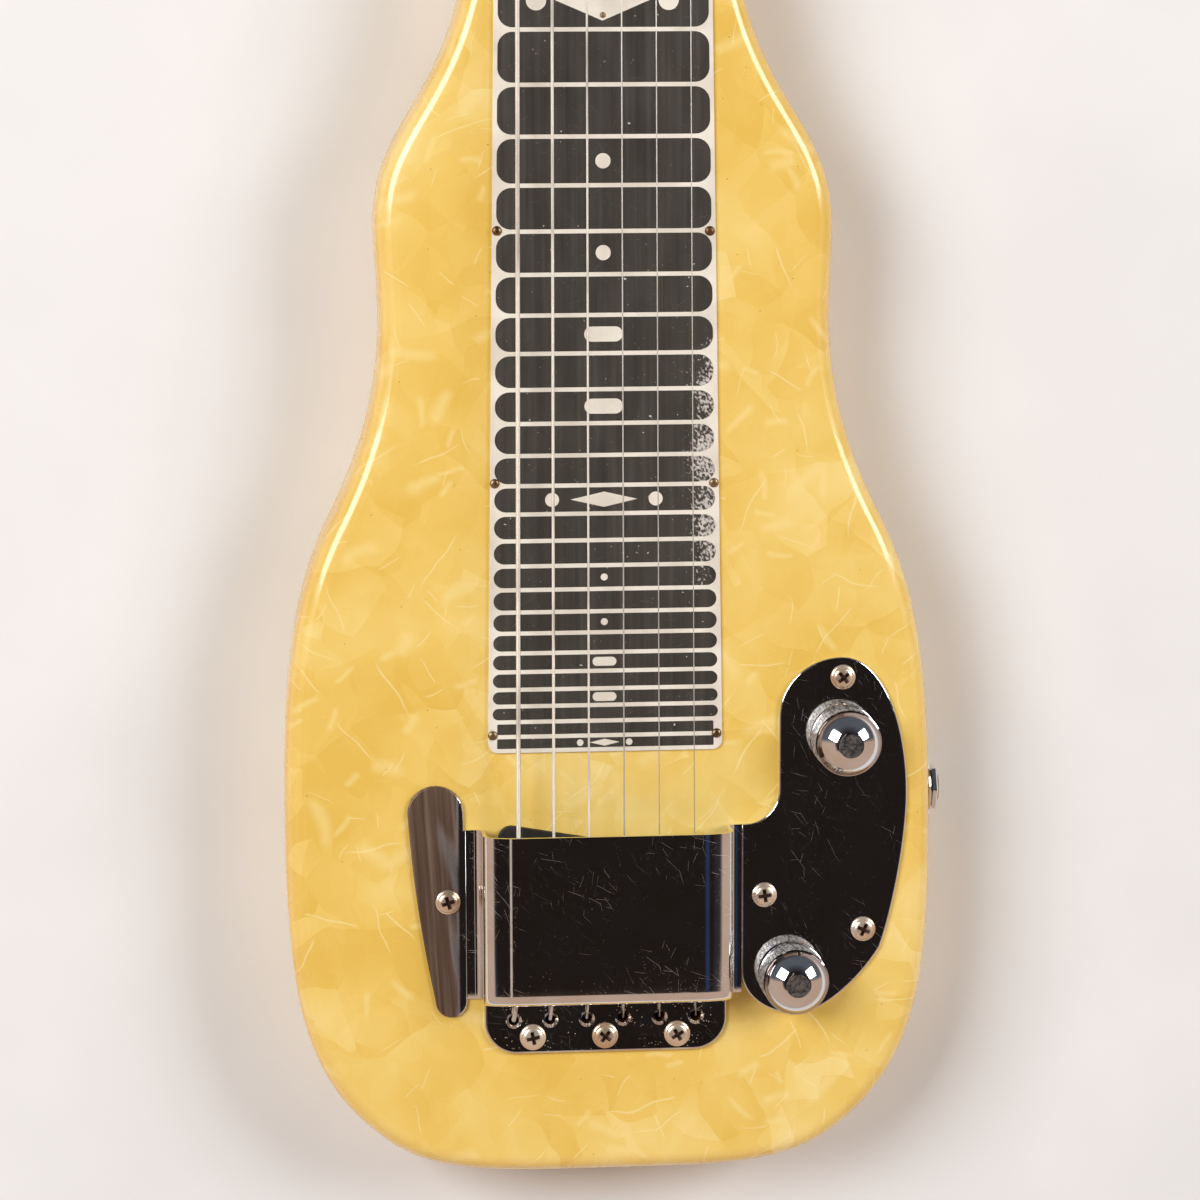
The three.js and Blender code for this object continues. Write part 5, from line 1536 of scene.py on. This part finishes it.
@dataclass(frozen=True)
class CoverSize:
    """Sizes of the pickup cover, in mm."""

    ear_side: float = -42.2
    plate_side: float = 41.2
    middle: float = -0.2
    foot_half: float = 39.7
    wall_half: float = 37.6
    crown_half: float = 27.2
    shoulder: Flat = (33.2, 49.6)
    wall_top: float = 45.4
    fold: float = 2.1
    front: float = 47.5
    rear: float = -0.6
    rear_radius: float = 4.0
    wall: float = 1.2
    mouth_half: float = 30.5
    mouth_top: float = 43.8
    lip: float = 0.5
    shaft_hole: float = 4.9
    screw_hole: float = 1.7


class PickupCover(Assembly):
    """The chrome stamping: a hump over the pickup, an ear on its left and the control plate on its right."""

    size: CoverSize

    def arch(self) -> list[Flat]:
        """The hump's section from the ear over the top to the control plate."""
        s = self.size
        half = [(s.foot_half, PLATE_TOP)]
        half += arc((s.wall_half + s.fold, PLATE_TOP + s.fold), s.fold, 270, 180, 6)
        half += bezier((s.wall_half, s.wall_top), (0, 2.4), (2.5, -0.6), s.shoulder, 10)
        half += bezier(s.shoulder, (-2.2, 0.53), (2.8, 0), (s.crown_half, COVER_TOP), 8)
        left = [(s.middle - x, z) for x, z in half]
        right = [(s.middle + x, z) for x, z in reversed(half)]
        ends = [[(x, FACE), (x, PLATE_TOP)] for x in (s.ear_side, s.plate_side)]
        return without_doubles(ends[0] + left + right + list(reversed(ends[1])))

    def hump(self) -> Piece:
        """The open-fronted hump with its round rear."""
        s = self.size
        piece = Bench.sheet("pickup_hump", [(x, s.front, z) for x, z in self.arch()])
        Bench.edit(piece)
        for _ in range(4):
            Bench.push((0, (s.rear - s.front) / 4, 0))
        tall, steps, scale = COVER_TOP - FACE, 8, 1.0
        for step in range(1, steps + 1):
            now, then = (math.radians(90 * n / steps) for n in (step - 1, step))
            Bench.push((0, -s.rear_radius * (math.sin(then) - math.sin(now)), 0))
            goal = (tall - s.rear_radius * (1 - math.cos(then))) / tall
            bpy.ops.transform.resize(value=(1, 1, goal / scale), center_override=(0, 0, FACE * MM))
            scale = goal
        Bench.drop_faces(piece, (-99, s.front - 0.1, 30), (99, s.front + 0.1, 60))
        Bench.drop_faces(piece, (-99, -20, FACE - 0.1), (99, 60, FACE + 0.1))
        Bench.tidy(piece)
        Bench.thicken(piece, s.wall)
        opening = round_box((s.middle, s.rear - s.rear_radius), 2 * s.mouth_half, 6, 0.5, 2)
        Bench.carve(piece, [Bench.slab("mouth", opening, FACE - 2, s.mouth_top)])
        Bench.soften(piece, 0.4, 3, 50)
        return piece

    def ear(self) -> Piece:
        """The flat ear on the left."""
        s = self.size
        upper, bend, lower = (-59.8, 52.7), (-57.9, 23.65), (-51.8, -5.4)
        outline = [(s.ear_side, lower[1]), (s.ear_side, s.front), (-43.0, s.front)]
        outline += arc((-51.4, upper[1]), 8.4, 0, 180, 18)
        for step in range(1, 12):
            t = step / 12
            weights = ((1 - t) ** 2, 2 * t * (1 - t), t * t)
            corners = zip(upper, bend, lower)
            outline.append(tuple(sum(w * c for w, c in zip(weights, axis)) for axis in corners))
        outline += arc((-47.0, lower[1]), 4.8, 180, 360, 14)
        return Bench.slab("cover_ear", without_doubles(outline), FACE, PLATE_TOP, s.lip, 4)

    def control_plate(self) -> Piece:
        """The flat plate under the knobs."""
        s, share = self.size, 0.56
        foot, top, right = (s.plate_side, 2.0), (71.8, 98.2), (91.8, 56)
        low, rear = (83.7, 8.3), (58.5, -11.8)
        outline = [foot, (s.plate_side, s.front), (42.2, s.front)] + arc((42.2, 57.9), 10.4, -90, 0, 12)
        outline += bezier((52.6, 80), (0, share * 18.2), (-share * 19.2, 0), top, 16)
        outline += bezier(top, (share * 20, 0), (0, share * 42.2), right, 18)
        outline += bezier(right, (0, -13.36), (4.54, 13.36), low, 16)
        outline += bezier(low, (-7.06, -11.26), (7.06, 0), rear, 16)
        outline += bezier(rear, (-share * 17.3, 0), (0, -share * 13.8), foot, 12)
        outline = list(reversed(without_doubles(outline)))
        return Bench.slab("control_plate", outline, FACE, PLATE_TOP, s.lip, 4)

    def build(self) -> None:
        """Builds and dresses the stamping."""
        s = self.size
        plate = self.control_plate()
        spots = [(at, s.shaft_hole) for at in (VOLUME_AT, TONE_AT)]
        spots += [(at, s.screw_hole) for at in PLATE_SCREWS]
        tools = [Bench.slab("hole", disc(at, radius, 32), 30, 40) for at, radius in spots]
        Bench.carve(plate, [Bench.join("plate_holes", tools)])
        ear = self.ear()
        Bench.carve(ear, [Bench.slab("ear_hole", disc(EAR_SCREW, s.screw_hole, 32), 30, 40)])
        piece = Bench.join("pickup_stamping", [self.hump(), plate, ear])
        settle(Bench.tidy(piece, 28), self.finishes.cover, stands_for=["pickup_cover"])


@dataclass(frozen=True)
class BridgeSize:
    """Sizes of the bridge, in mm."""

    axis: float = -0.25
    half: float = 36.9
    rear: float = -22.0
    shoulder: float = -5.4
    rear_corner: float = 10.0
    tongue_half: float = 30.2
    front: float = 6.5
    small_corner: float = 1.5
    ridge_round: float = 1.2
    ridge_half: float = 28.2
    ridge_thick: float = 2.4
    hole: float = 1.6
    rim: float = 2.5
    screw_hole: float = 1.7


class Bridge(Assembly):
    """The chrome plate behind the cover, its string holes and the ridge that the strings cross."""

    size: BridgeSize

    def outline(self) -> list[Flat]:
        """Outline of the plate, anticlockwise."""
        s = self.size
        left, right, big, small = s.axis - s.half, s.axis + s.half, s.rear_corner, s.small_corner
        points = arc((left + big, s.rear + big), big, 180, 270, 16)
        points += arc((right - big, s.rear + big), big, 270, 360, 16)
        points += arc((right - small, s.shoulder - small), small, 0, 90, 5)
        points += [(s.axis + s.tongue_half, s.shoulder), (s.axis + s.tongue_half, s.front)]
        points += [(s.axis - s.tongue_half, s.front), (s.axis - s.tongue_half, s.shoulder)]
        points += arc((left + small, s.shoulder - small), small, 90, 180, 5)
        return points

    def bores(self) -> Piece:
        """The tools for the flared string holes and the screw holes."""
        s = self.size
        flare = [(s.hole, 30 - BRIDGE_TOP), (s.hole, -0.75), (s.rim, 0.06), (s.rim, 2.0)]
        straight = [(s.screw_hole, -8), (s.screw_hole, 4)]
        tools = [
            Bench.turned("bore", flare, (string_x(index, HOLE_PITCH), STRING_ROW, BRIDGE_TOP), sides=28)
            for index in range(6)
        ]
        tools += [Bench.turned("bore", straight, (*at, BRIDGE_TOP), sides=20) for at in BRIDGE_SCREWS]
        return Bench.join("bridge_bores", tools)

    def ridge(self) -> Piece:
        """The upright ridge with its round top."""
        s = self.size
        half, turn_in = s.ridge_thick / 2, RIDGE_TOP - s.ridge_round
        angles = [math.radians(degrees) for degrees in range(15, 166, 15)]
        profile = [(-half, FACE + 0.2), (half, FACE + 0.2), (half, turn_in)]
        profile += [(half * math.cos(a), turn_in + s.ridge_round * math.sin(a)) for a in angles]
        profile += [(-half, turn_in)]
        section = [(s.axis - s.ridge_half, y, z) for y, z in profile]
        return Bench.prism("bridge_ridge", section, (2 * s.ridge_half, 0, 0))

    def build(self) -> None:
        """Builds and dresses the bridge."""
        plate = Bench.slab("bridge", self.outline(), FACE, BRIDGE_TOP, 0.7, 5)
        Bench.carve(plate, [self.bores()])
        piece = Bench.join("bridge", [plate, self.ridge()])
        settle(Bench.tidy(piece, 30), self.finishes.bridge, stands_for=["bridge_plate"])


@dataclass(frozen=True)
class BobbinSize:
    """Sizes of the pickup's bobbin, in mm."""

    width: float = 62.6
    depth: float = 23.4
    corner: float = 4.0
    middle: Flat = (-3.1, 32.2)
    turn: float = -10.0
    core: Flat = (45.2, 6.4)
    foot: Flat = (54.0, 15.6)
    core_middle: Flat = (0.0, 35.0)
    core_turn: float = -5.0
    low: Flat = (26.0, 27.6)
    high: Flat = (35.05, 36.9)


class Bobbin(Assembly):
    """The pickup's fibre bobbin, whose upper flatwork peeps out under the front of the cover."""

    size: BobbinSize

    def build(self) -> None:
        """Builds the two flatworks and the core between them."""
        s = self.size
        upper = turned_about(round_box(s.middle, s.width, s.depth, s.corner, 8), s.middle, s.turn)
        pieces = [Bench.slab("bobbin_top", upper, *s.high, 0.3, 3)]
        lower = turned_about(round_box(s.core_middle, *s.foot, 2.0), s.core_middle, s.core_turn)
        pieces.append(Bench.slab("bobbin_foot", lower, *s.low, 0.3, 2))
        core = turned_about(round_box(s.core_middle, *s.core, 1.0), s.core_middle, s.core_turn)
        pieces.append(Bench.slab("bobbin_core", core, s.low[1] - 0.1, s.high[0] + 0.1))
        settle(Bench.join("bobbin", pieces), self.finishes.fibre, stands_for=["pickup_bobbin"])


@dataclass(frozen=True)
class ScrewSize:
    """Sizes of the screws, in mm."""

    small: float = 3.75
    large: float = 3.95
    rise: float = 1.9
    shank: float = 1.3
    length: float = 15.6
    arm: Flat = (2.0, 0.56)
    recess: float = 0.5
    recess_taper: float = 1.0


class Screws(Assembly):
    """Oval-headed cross-slotted screws, modelled once and copied to their places."""

    size: ScrewSize

    def cross(self, piece: Piece) -> None:
        """Cuts the tapering cross recess, one arm at a time, and lays painted shade on its walls."""
        s, above = self.size, 0.6
        arm = [(x * s.arm[0], y * s.arm[1]) for x, y in ((-1, -1), (1, -1), (1, 1), (-1, 1))]
        for turn in (0, 90):
            cut = Bench.level("recess_arm", turned_about(arm, (0, 0), turn), s.rise + above)
            Bench.edit(cut)
            Bench.push((0, 0, -above - s.recess))
            Bench.push((0, 0, -s.recess_taper))
            bpy.ops.transform.resize(value=(0.5, 0.5, 1), center_override=(0, 0, 0))
            # The cutter carries the painted shade onto the recess walls.
            Bench.tidy(cut).data.materials.append(self.finishes.recess_shade)
            Bench.carve(piece, [cut])

    def model(self, name: str, radius: float) -> Piece:
        """One screw whose seat lies at height 0.

        Args:
            name: Name of the piece.
            radius: Radius of its head.

        Returns:
            The screw, pointing up at the origin.
        """
        s = self.size
        profile = [(0.2, -s.length), (s.shank, -13), (s.shank, -1.2), (s.shank, 0.0), (radius - 0.15, 0.0)]
        profile += [(radius, 0.2), (radius, 0.4), (radius - 0.12, 0.55), (radius - 0.55, 0.72)]
        for step in range(1, 10):
            angle = math.radians(90 * step / 10)
            crown = 0.75 + (s.rise - 0.75) * math.sin(angle) ** 0.9
            profile.append(((radius - 0.6) * math.cos(angle), crown))
        profile.append((0.3, s.rise))
        piece = Bench.turned(name, profile, (0, 0, 0), sides=48)
        piece.data.materials.append(self.finishes.screw)
        self.cross(piece)
        return Bench.tidy(piece, 34)

    def build(self) -> None:
        """Builds the screws and copies them to their places."""
        small = self.model("plate_screw", self.size.small)
        large = self.model("bridge_screw", self.size.large)
        spots = [("ear_screw", small, EAR_SCREW, PLATE_TOP, "cover_screw", 18)]
        for n, (at, turn) in enumerate(zip(PLATE_SCREWS, (40, 8, 66)), 1):
            spots.append((f"control_screw_{n}", small, at, PLATE_TOP, f"plate_screw_{n}", turn))
        for n, (at, turn) in enumerate(zip(BRIDGE_SCREWS, (12, 52, 30)), 1):
            spots.append((f"tail_screw_{n}", large, at, BRIDGE_TOP, f"bridge_screw_{n}", turn))
        for name, model, at, height, solid, turn in spots:
            seat = Matrix.Translation(Vector((*at, height)) * MM)
            piece = Bench.copy(model, name, seat @ Matrix.Rotation(math.radians(turn), 4, "Z"))
            settle(piece, self.finishes.screw, stands_for=[solid])
        for model in (small, large):
            bpy.data.objects.remove(model)


@dataclass(frozen=True)
class KnobSize:
    """Sizes of a knob, in mm; heights are above its underside."""

    bore: Flat = (3.2, 12.4)
    hub: float = 5.0
    hollow: Flat = (8.1, 9.0)
    skirt: float = 10.2
    skirt_rise: float = 1.2
    barrel: float = 10.0
    barrel_rise: float = 9.2
    rim: float = 9.6
    cap: float = 9.45
    ball: float = 11.4
    flat: float = 3.7


class Knob(Assembly):
    """A knurled chrome knob with a domed top."""

    size: KnobSize

    def profile(self) -> list[Flat]:
        """The section from the bore round the hollow underside and the wall to the domed top."""
        s, top = self.size, KNOB_TOP - KNOB_FOOT
        (bore, bore_top), (hollow, hollow_top) = s.bore, s.hollow
        level = top - math.sqrt(s.ball ** 2 - s.flat ** 2)
        edge = level + math.sqrt(s.ball ** 2 - s.cap ** 2)
        profile = [(bore, bore_top), (bore, 0.0), (s.hub, 0.0), (s.hub, hollow_top), (hollow, hollow_top)]
        profile += [(hollow, 0.0), (s.skirt - 0.25, 0.0), (s.skirt, 0.3), (s.skirt, s.skirt_rise - 0.4)]
        profile += [(s.skirt - 0.25, s.skirt_rise), (s.barrel, s.skirt_rise + 0.1), (s.barrel, s.barrel_rise)]
        profile += [(s.rim, s.barrel_rise + 0.15), (s.rim, edge - 0.15)]
        for step in range(17):
            radius = s.cap + (s.flat - s.cap) * step / 16
            profile.append((radius, level + math.sqrt(s.ball ** 2 - radius ** 2)))
        return profile + [(s.flat - 0.2, top), (0.3, top)]

    def build(self, name: str, at: Flat, body: Body, solid: str) -> None:
        """Builds a knob.

        Args:
            name: Name of the piece.
            at: Where its axis stands.
            body: The control that it turns with.
            solid: The solid that it stands for.
        """
        piece = Bench.turned(name, self.profile(), (*at, KNOB_FOOT), sides=96)
        settle(piece, self.finishes.knob(f"{name}_chrome", at), body.value, [solid])


@dataclass(frozen=True)
class JackSize:
    """Sizes of the output jack, in mm, along and round its axis."""

    washer_from: float = 99.9
    nut_from: float = 101.7
    thread_hole: float = 4.9
    plug_hole: float = 3.25
    spring: Flat = (16.4, 4.5)
    spring_heights: Flat = (12.7, 13.5)
    spring_middle: float = 79.2


class Jack(Assembly):
    """The output jack in the treble side."""

    size: JackSize

    def part(self, name: str, profile: list[Flat], start: float, sides: int, hole: float) -> Piece:
        """A turned and bored part of the jack.

        Args:
            name: Name of the part.
            profile: Its section along the axis.
            start: Where it starts along X.
            sides: Sides of the turning.
            hole: Radius of its bore.

        Returns:
            The part.
        """
        piece = Bench.turned(name, profile, (start, *JACK_AT), Facing.RIGHT, sides)
        bore = Bench.turned("bore", [(hole, -30), (hole, 30)], (100, *JACK_AT), Facing.RIGHT, 32)
        Bench.carve(piece, [bore])
        return piece

    def build(self) -> None:
        """Builds the washer, the nut and the socket with its spring."""
        s, f = self.size, self.finishes
        dish = [(10.0, 0.0), (10.3, 0.25), (10.1, 0.75), (8.6, 1.15), (7.4, 1.5)]
        hexagon = [(6.7, 0), (7.2, 0.25), (7.2, 1.4), (6.6, 1.8)]
        barrel = [(7.0, 87), (7.0, 89), (4.7, 89), (4.7, 103.8), (4.4, 104.1)]
        washer = self.part("jack_dress_washer", dish, s.washer_from, 64, s.thread_hole)
        nut = self.part("jack_hexagon_nut", hexagon, s.nut_from, 6, s.thread_hole)
        socket = self.part("jack_barrel", barrel, 0, 48, s.plug_hole)
        leaf = round_box((s.spring_middle, JACK_AT[0]), *s.spring, 0.8, 4)
        spring = Bench.slab("jack_spring", leaf, *s.spring_heights, 0.2, 2)
        socket = Bench.join("jack_barrel", [socket, spring])
        settle(Bench.tidy(washer, 30), f.chrome, stands_for=["jack_washer"])
        settle(Bench.tidy(nut, 20), f.chrome, stands_for=["jack_nut"])
        settle(Bench.tidy(socket, 30), f.brass, stands_for=["jack_socket"])


@dataclass(frozen=True)
class NutSize:
    """Sizes of the string nut, in mm."""

    half: float = 27.5
    near: float = 571.8
    edge: float = 0.35
    slot_play: float = 0.08


class Nut(Assembly):
    """The metal nut that carries the strings at the end of the fretboard."""

    size: NutSize

    def build(self) -> None:
        """Builds and dresses the nut."""
        s = self.size
        profile = [(s.near, FACE), (s.near, 40.4), (s.near + 0.5, 41.8), (s.near + 1.4, 42.5)]
        profile += [(s.near + 2.4, NUT_TOP), (NUT_FAR - 1.0, NUT_TOP), (NUT_FAR - 0.3, 42.5)]
        profile += [(NUT_FAR, 41.9), (NUT_FAR, FACE)]
        section = [(-s.half, y, z) for y, z in reversed(profile)]
        piece = Bench.prism("string_nut", section, (2 * s.half, 0, 0))
        Bench.soften(piece, s.edge, 3, 30)
        for index, gauge in enumerate(STRINGS):
            x, radius = string_x(index, NUT_PITCH), gauge.thickness / 2 + s.slot_play
            height = NUT_TOP + 0.25 * gauge.thickness
            Bench.carve(piece, [Bench.wire("slot", [(x, 570, height), (x, 578, height - 0.5)], radius)])
        settle(Bench.tidy(piece, 30), self.finishes.brass, stands_for=["nut"])


@dataclass(frozen=True)
class TunerSize:
    """Sizes of a tuner, in mm and radians."""

    teeth: int = 14
    root: float = 4.3
    tip: float = 5.5
    gear_low: float = 8.6
    gear_high: float = 11.6
    twist: float = 0.1128
    post: float = 3.0
    cap: float = 3.6
    top: float = 40.0
    eye_radius: float = 0.9
    button_half: Place = (6.1, 7.7, 3.5)
    button_from: float = 52.45


class Tuners(Assembly):
    """The posts with their gears, and the buttons; strips and worm shafts are dressed as they are."""

    size: TunerSize

    def wheel(self, turn: float) -> list[Flat]:
        """The outline of the worm wheel, turned by an angle."""
        s = self.size
        points = []
        for tooth in range(s.teeth):
            for radius, share in ((s.root, -0.36), (s.tip, -0.12), (s.tip, 0.12), (s.root, 0.36)):
                angle = (tooth + share) * 2 * math.pi / s.teeth + turn
                points.append((radius * math.cos(angle), radius * math.sin(angle)))
        return points

    def gear(self) -> Piece:
        """The worm wheel at the foot of a post, round the origin, its teeth on a slant."""
        s = self.size
        low, high = self.wheel(-s.twist / 2), self.wheel(s.twist / 2)
        piece = Bench.sheet("gear", [(x, y, s.gear_low) for x, y in low])
        Bench.edit(piece)
        Bench.push((0, 0, s.gear_high - s.gear_low))
        bpy.ops.object.mode_set(mode="OBJECT")
        for corner in piece.data.vertices:
            if corner.co.z > (s.gear_low + 1) * MM:
                here = (corner.co.x / MM, corner.co.y / MM)
                near = min(range(len(low)), key=lambda n: math.dist(low[n], here))
                corner.co.x, corner.co.y = (value * MM for value in high[near])
        return Bench.tidy(piece, 20)

    def post(self) -> Piece:
        """A post with its gear, round the origin."""
        s = self.size
        profile = [(s.post - 0.3, 8.2), (s.post, 8.5), (s.post, s.top - 1.25), (s.cap - 0.15, s.top - 1.2)]
        profile += [(s.cap, s.top - 1.05), (s.cap, s.top - 0.55), (s.cap - 0.15, s.top - 0.3)]
        profile += [(s.cap - 0.45, s.top - 0.1), (s.post - 0.2, s.top)]
        shank = Bench.turned("post", profile, (0, 0, 0), sides=40)
        Bench.carve(shank, [Bench.wire("eye", [(-6, 0, POST_EYE), (6, 0, POST_EYE)], s.eye_radius, 16)])
        return Bench.tidy(Bench.join("post", [shank, self.gear()]), 30)

    def button(self) -> Piece:
        """A button round the origin, its stem towards -X."""
        across, tall, thick = self.size.button_half
        section = []
        for step in range(48):
            angle = 2 * math.pi * step / 48
            section.append((across * swell(math.cos(angle), 0.82), tall * swell(math.sin(angle), 0.82)))
        profile = []
        for step in range(17):
            angle = math.radians(-84 + 168 * step / 16)
            profile.append((math.cos(angle) ** 0.72, thick * swell(math.sin(angle), 0.8)))
        piece = Bench.turned("button", profile, (0, 0, 0), Facing.ALONG, section=section)
        rounds = [(2.9, 0), (2.9, 1.0), (2.5, 1.6), (2.5, 3.0)]
        collar = Bench.turned("collar", rounds, (-5.95, 0, 0), Facing.RIGHT, 32)
        Bench.carve(piece, [collar], weld=True)
        return Bench.tidy(piece, 40)

    def build(self) -> None:
        """Builds one post and one button and copies them to the six places."""
        f, post, button = self.finishes, self.post(), self.button()
        for index in range(6):
            number, side, (x, y) = index + 1, post_side(index), post_at(index)
            seat = Matrix.Translation(Vector((x, y, 0)) * MM)
            piece = Bench.copy(post, f"post_and_gear_{number}", seat)
            settle(piece, f.steel, f"post_{number}", [f"tuner_post_{number}"])
            at = (side * self.size.button_from, y - side * GEAR_GAP, KEY_HEIGHT)
            seat = Matrix.Translation(Vector(at) * MM) @ Matrix.Rotation(0.0 if side > 0 else math.pi, 4, "Z")
            piece = Bench.copy(button, f"key_button_{number}", seat)
            settle(piece, f.button, f"key_{number}", [f"tuner_button_{number}"])
        for model in (post, button):
            bpy.data.objects.remove(model)


class KeptSolids:
    """The solids that are shown as packed, with their finishes."""

    def __init__(self, finishes: Finishes) -> None:
        """Keeps the finishes."""
        f = finishes
        self.dress = {
            "body_core": f.wood,
            "string_anchor_plate": f.steel,
            "pickup_coil": f.copper,
            "pickup_blade": f.steel,
            "pickup_magnet": f.magnet,
            "volume_pot": f.dark_steel,
            "tone_pot": f.dark_steel,
            "volume_pot_nut": f.brass,
            "tone_pot_nut": f.brass,
            "volume_shaft": f.brass,
            "tone_shaft": f.brass,
            "tone_capacitor": f.wax,
            "pickup_lead": f.cloth,
            "jack_lead": f.cloth,
            "pot_link_lead": f.cloth,
            "bass_tuner_strip": f.steel,
            "treble_tuner_strip": f.steel,
            **{f"tuner_key_{n}": f.steel for n in range(1, 7)},
        }

    def build(self) -> None:
        """Gives each solid its finish."""
        for name, material in self.dress.items():
            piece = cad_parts[name]
            piece.data.materials.clear()
            piece.data.materials.append(material)
            log.info("%s: kept as packed", name)


@dataclass(frozen=True)
class Lamp:
    """A soft square lamp: where it hangs and its side in metres, and its power in watts."""

    name: str
    at: Place
    side: float
    power: float


@dataclass(frozen=True)
class StudioSize:
    """The camera and the lights, in metres and radians, and the colours of the room."""

    lens: float = 120.0
    camera: Place = (-0.1115, 0.2918, 1.2140)
    turn: Place = (0.1466, -0.0931, -0.0100)
    aim: Place = (0, 0.15, 0.03)
    lamps: tuple[Lamp, ...] = (
        Lamp("key_light", (-1.8, 1.05, 1.9), 1.45, 62.5),
        Lamp("fill_light", (2.4, 1.15, 1.9), 1.45, 61),
    )
    floor_radius: float = 6.0
    floor_drop: float = 0.0004
    warm: Shade = (0.56, 0.40, 0.305)
    ahead: Shade = (0.10, 0.11, 0.13)
    overhead: Shade = (0.016, 0.012, 0.010)
    window: Shade = (0.62, 0.50, 0.42)
    dusk: Shade = (0.022, 0.04, 0.095)


class Studio:
    """A pale floor, soft lights and the camera."""

    def __init__(self, size: StudioSize) -> None:
        """Keeps the sizes."""
        self.size = size

    def floor(self) -> None:
        """Lays the floor."""
        s = self.size
        Bench.clear()
        bpy.ops.mesh.primitive_circle_add(
            vertices=96, radius=s.floor_radius, fill_type="NGON", location=(0, 0, -s.floor_drop)
        )
        floor = bpy.context.object
        floor.name = floor.data.name = "studio_floor"
        p = Paint("studio_floor")
        colour = p.ramp(p.cloud(60), [(0.3, (0.80, 0.80, 0.80, 1)), (0.7, (0.84, 0.84, 0.84, 1))])
        weave = p.bump(p.cloud(2), 0.05, 0.2)
        floor.data.materials.append(p.close(Base_Color=colour, Roughness=0.9, Normal=weave))

    def hang(self, lamp: Lamp) -> None:
        """Adds a soft lamp that faces the instrument's middle."""
        Bench.clear()
        bpy.ops.object.light_add(type="AREA", location=lamp.at)
        light = bpy.context.object
        light.name = light.data.name = lamp.name
        light.data.size = lamp.side
        light.data.energy = lamp.power
        aim = Vector(self.size.aim) - Vector(lamp.at)
        light.rotation_euler = aim.to_track_quat("-Z", "Y").to_euler()

    def world(self) -> None:
        """Dark overhead and ahead, warm low down and behind the tail, as in the photo's room."""
        s = self.size
        world = bpy.data.worlds.new("studio")
        bpy.context.scene.world = world
        p = Paint("studio", world)
        way = p.spot.node.outputs["Generated"]
        up, ahead = p.axis(way, "Z"), p.axis(way, "Y")
        dark = p.ramp(up, [(0.0, (*s.ahead, 1)), (0.55, (*s.ahead, 1)), (0.86, (*s.overhead, 1))])
        beside = p.times(p.fade(ahead, 0.12, -0.08), p.fade(up, 0.8, 0.7))
        warm = p.most(p.most(beside, p.fade(ahead, -0.32, -0.46)), p.fade(up, 0.1, 0.0))
        above, across = p.fade(up, 0.86, 0.9), p.axis(way, "X")
        left = p.times(p.fade(across, -0.175, -0.15), p.fade(across, -0.105, -0.08, 1.0, 0.0))
        right = p.times(p.fade(across, 0.19, 0.26), p.fade(across, 0.31, 0.38, 1.0, 0.0))
        colour = p.blend(warm, dark, (*s.warm, 1))
        colour = p.blend(p.times(left, above), colour, (*s.window, 1))
        colour = p.blend(p.times(right, above), colour, (*s.dusk, 1))
        glow = p.node("Background", {"Color": colour})
        p.node("OutputWorld", {"Surface": glow.outputs[0]})

    def camera(self) -> None:
        """Stands the camera where the photo was taken from."""
        turn = Vector(self.size.turn)
        seen = Matrix.Rotation(turn.length, 3, turn.normalized())
        flip = Matrix(((1, 0, 0), (0, -1, 0), (0, 0, -1)))
        bpy.ops.object.camera_add(location=self.size.camera)
        camera = bpy.context.object
        camera.name = camera.data.name = "studio_camera"
        camera.data.lens = self.size.lens
        camera.data.sensor_width = 36
        camera.rotation_euler = ((seen @ flip).transposed() @ flip).to_euler()
        bpy.context.scene.camera = camera

    def build(self) -> None:
        """Sets up the floor, the lights and the camera."""
        self.floor()
        self.world()
        for lamp in self.size.lamps:
            self.hang(lamp)
        self.camera()
        bpy.context.scene.view_settings.view_transform = "Standard"


def main() -> None:
    """Builds the sub-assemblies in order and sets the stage."""
    logging.basicConfig(level=logging.INFO, format="%(name)s %(message)s")
    finishes = Finishes()
    BodyShell(BodySize(), finishes).build()
    Fretboard(BoardSize(), finishes).build()
    StringSet(RunSize(), finishes).build()
    PickupCover(CoverSize(), finishes).build()
    Bobbin(BobbinSize(), finishes).build()
    Bridge(BridgeSize(), finishes).build()
    Screws(ScrewSize(), finishes).build()
    knob = Knob(KnobSize(), finishes)
    knob.build("volume_cap", VOLUME_AT, Body.VOLUME, "volume_knob")
    knob.build("tone_cap", TONE_AT, Body.TONE, "tone_knob")
    Jack(JackSize(), finishes).build()
    Nut(NutSize(), finishes).build()
    Tuners(TunerSize(), finishes).build()
    KeptSolids(finishes).build()
    Studio(StudioSize()).build()


if __name__ == "__main__":
    main()
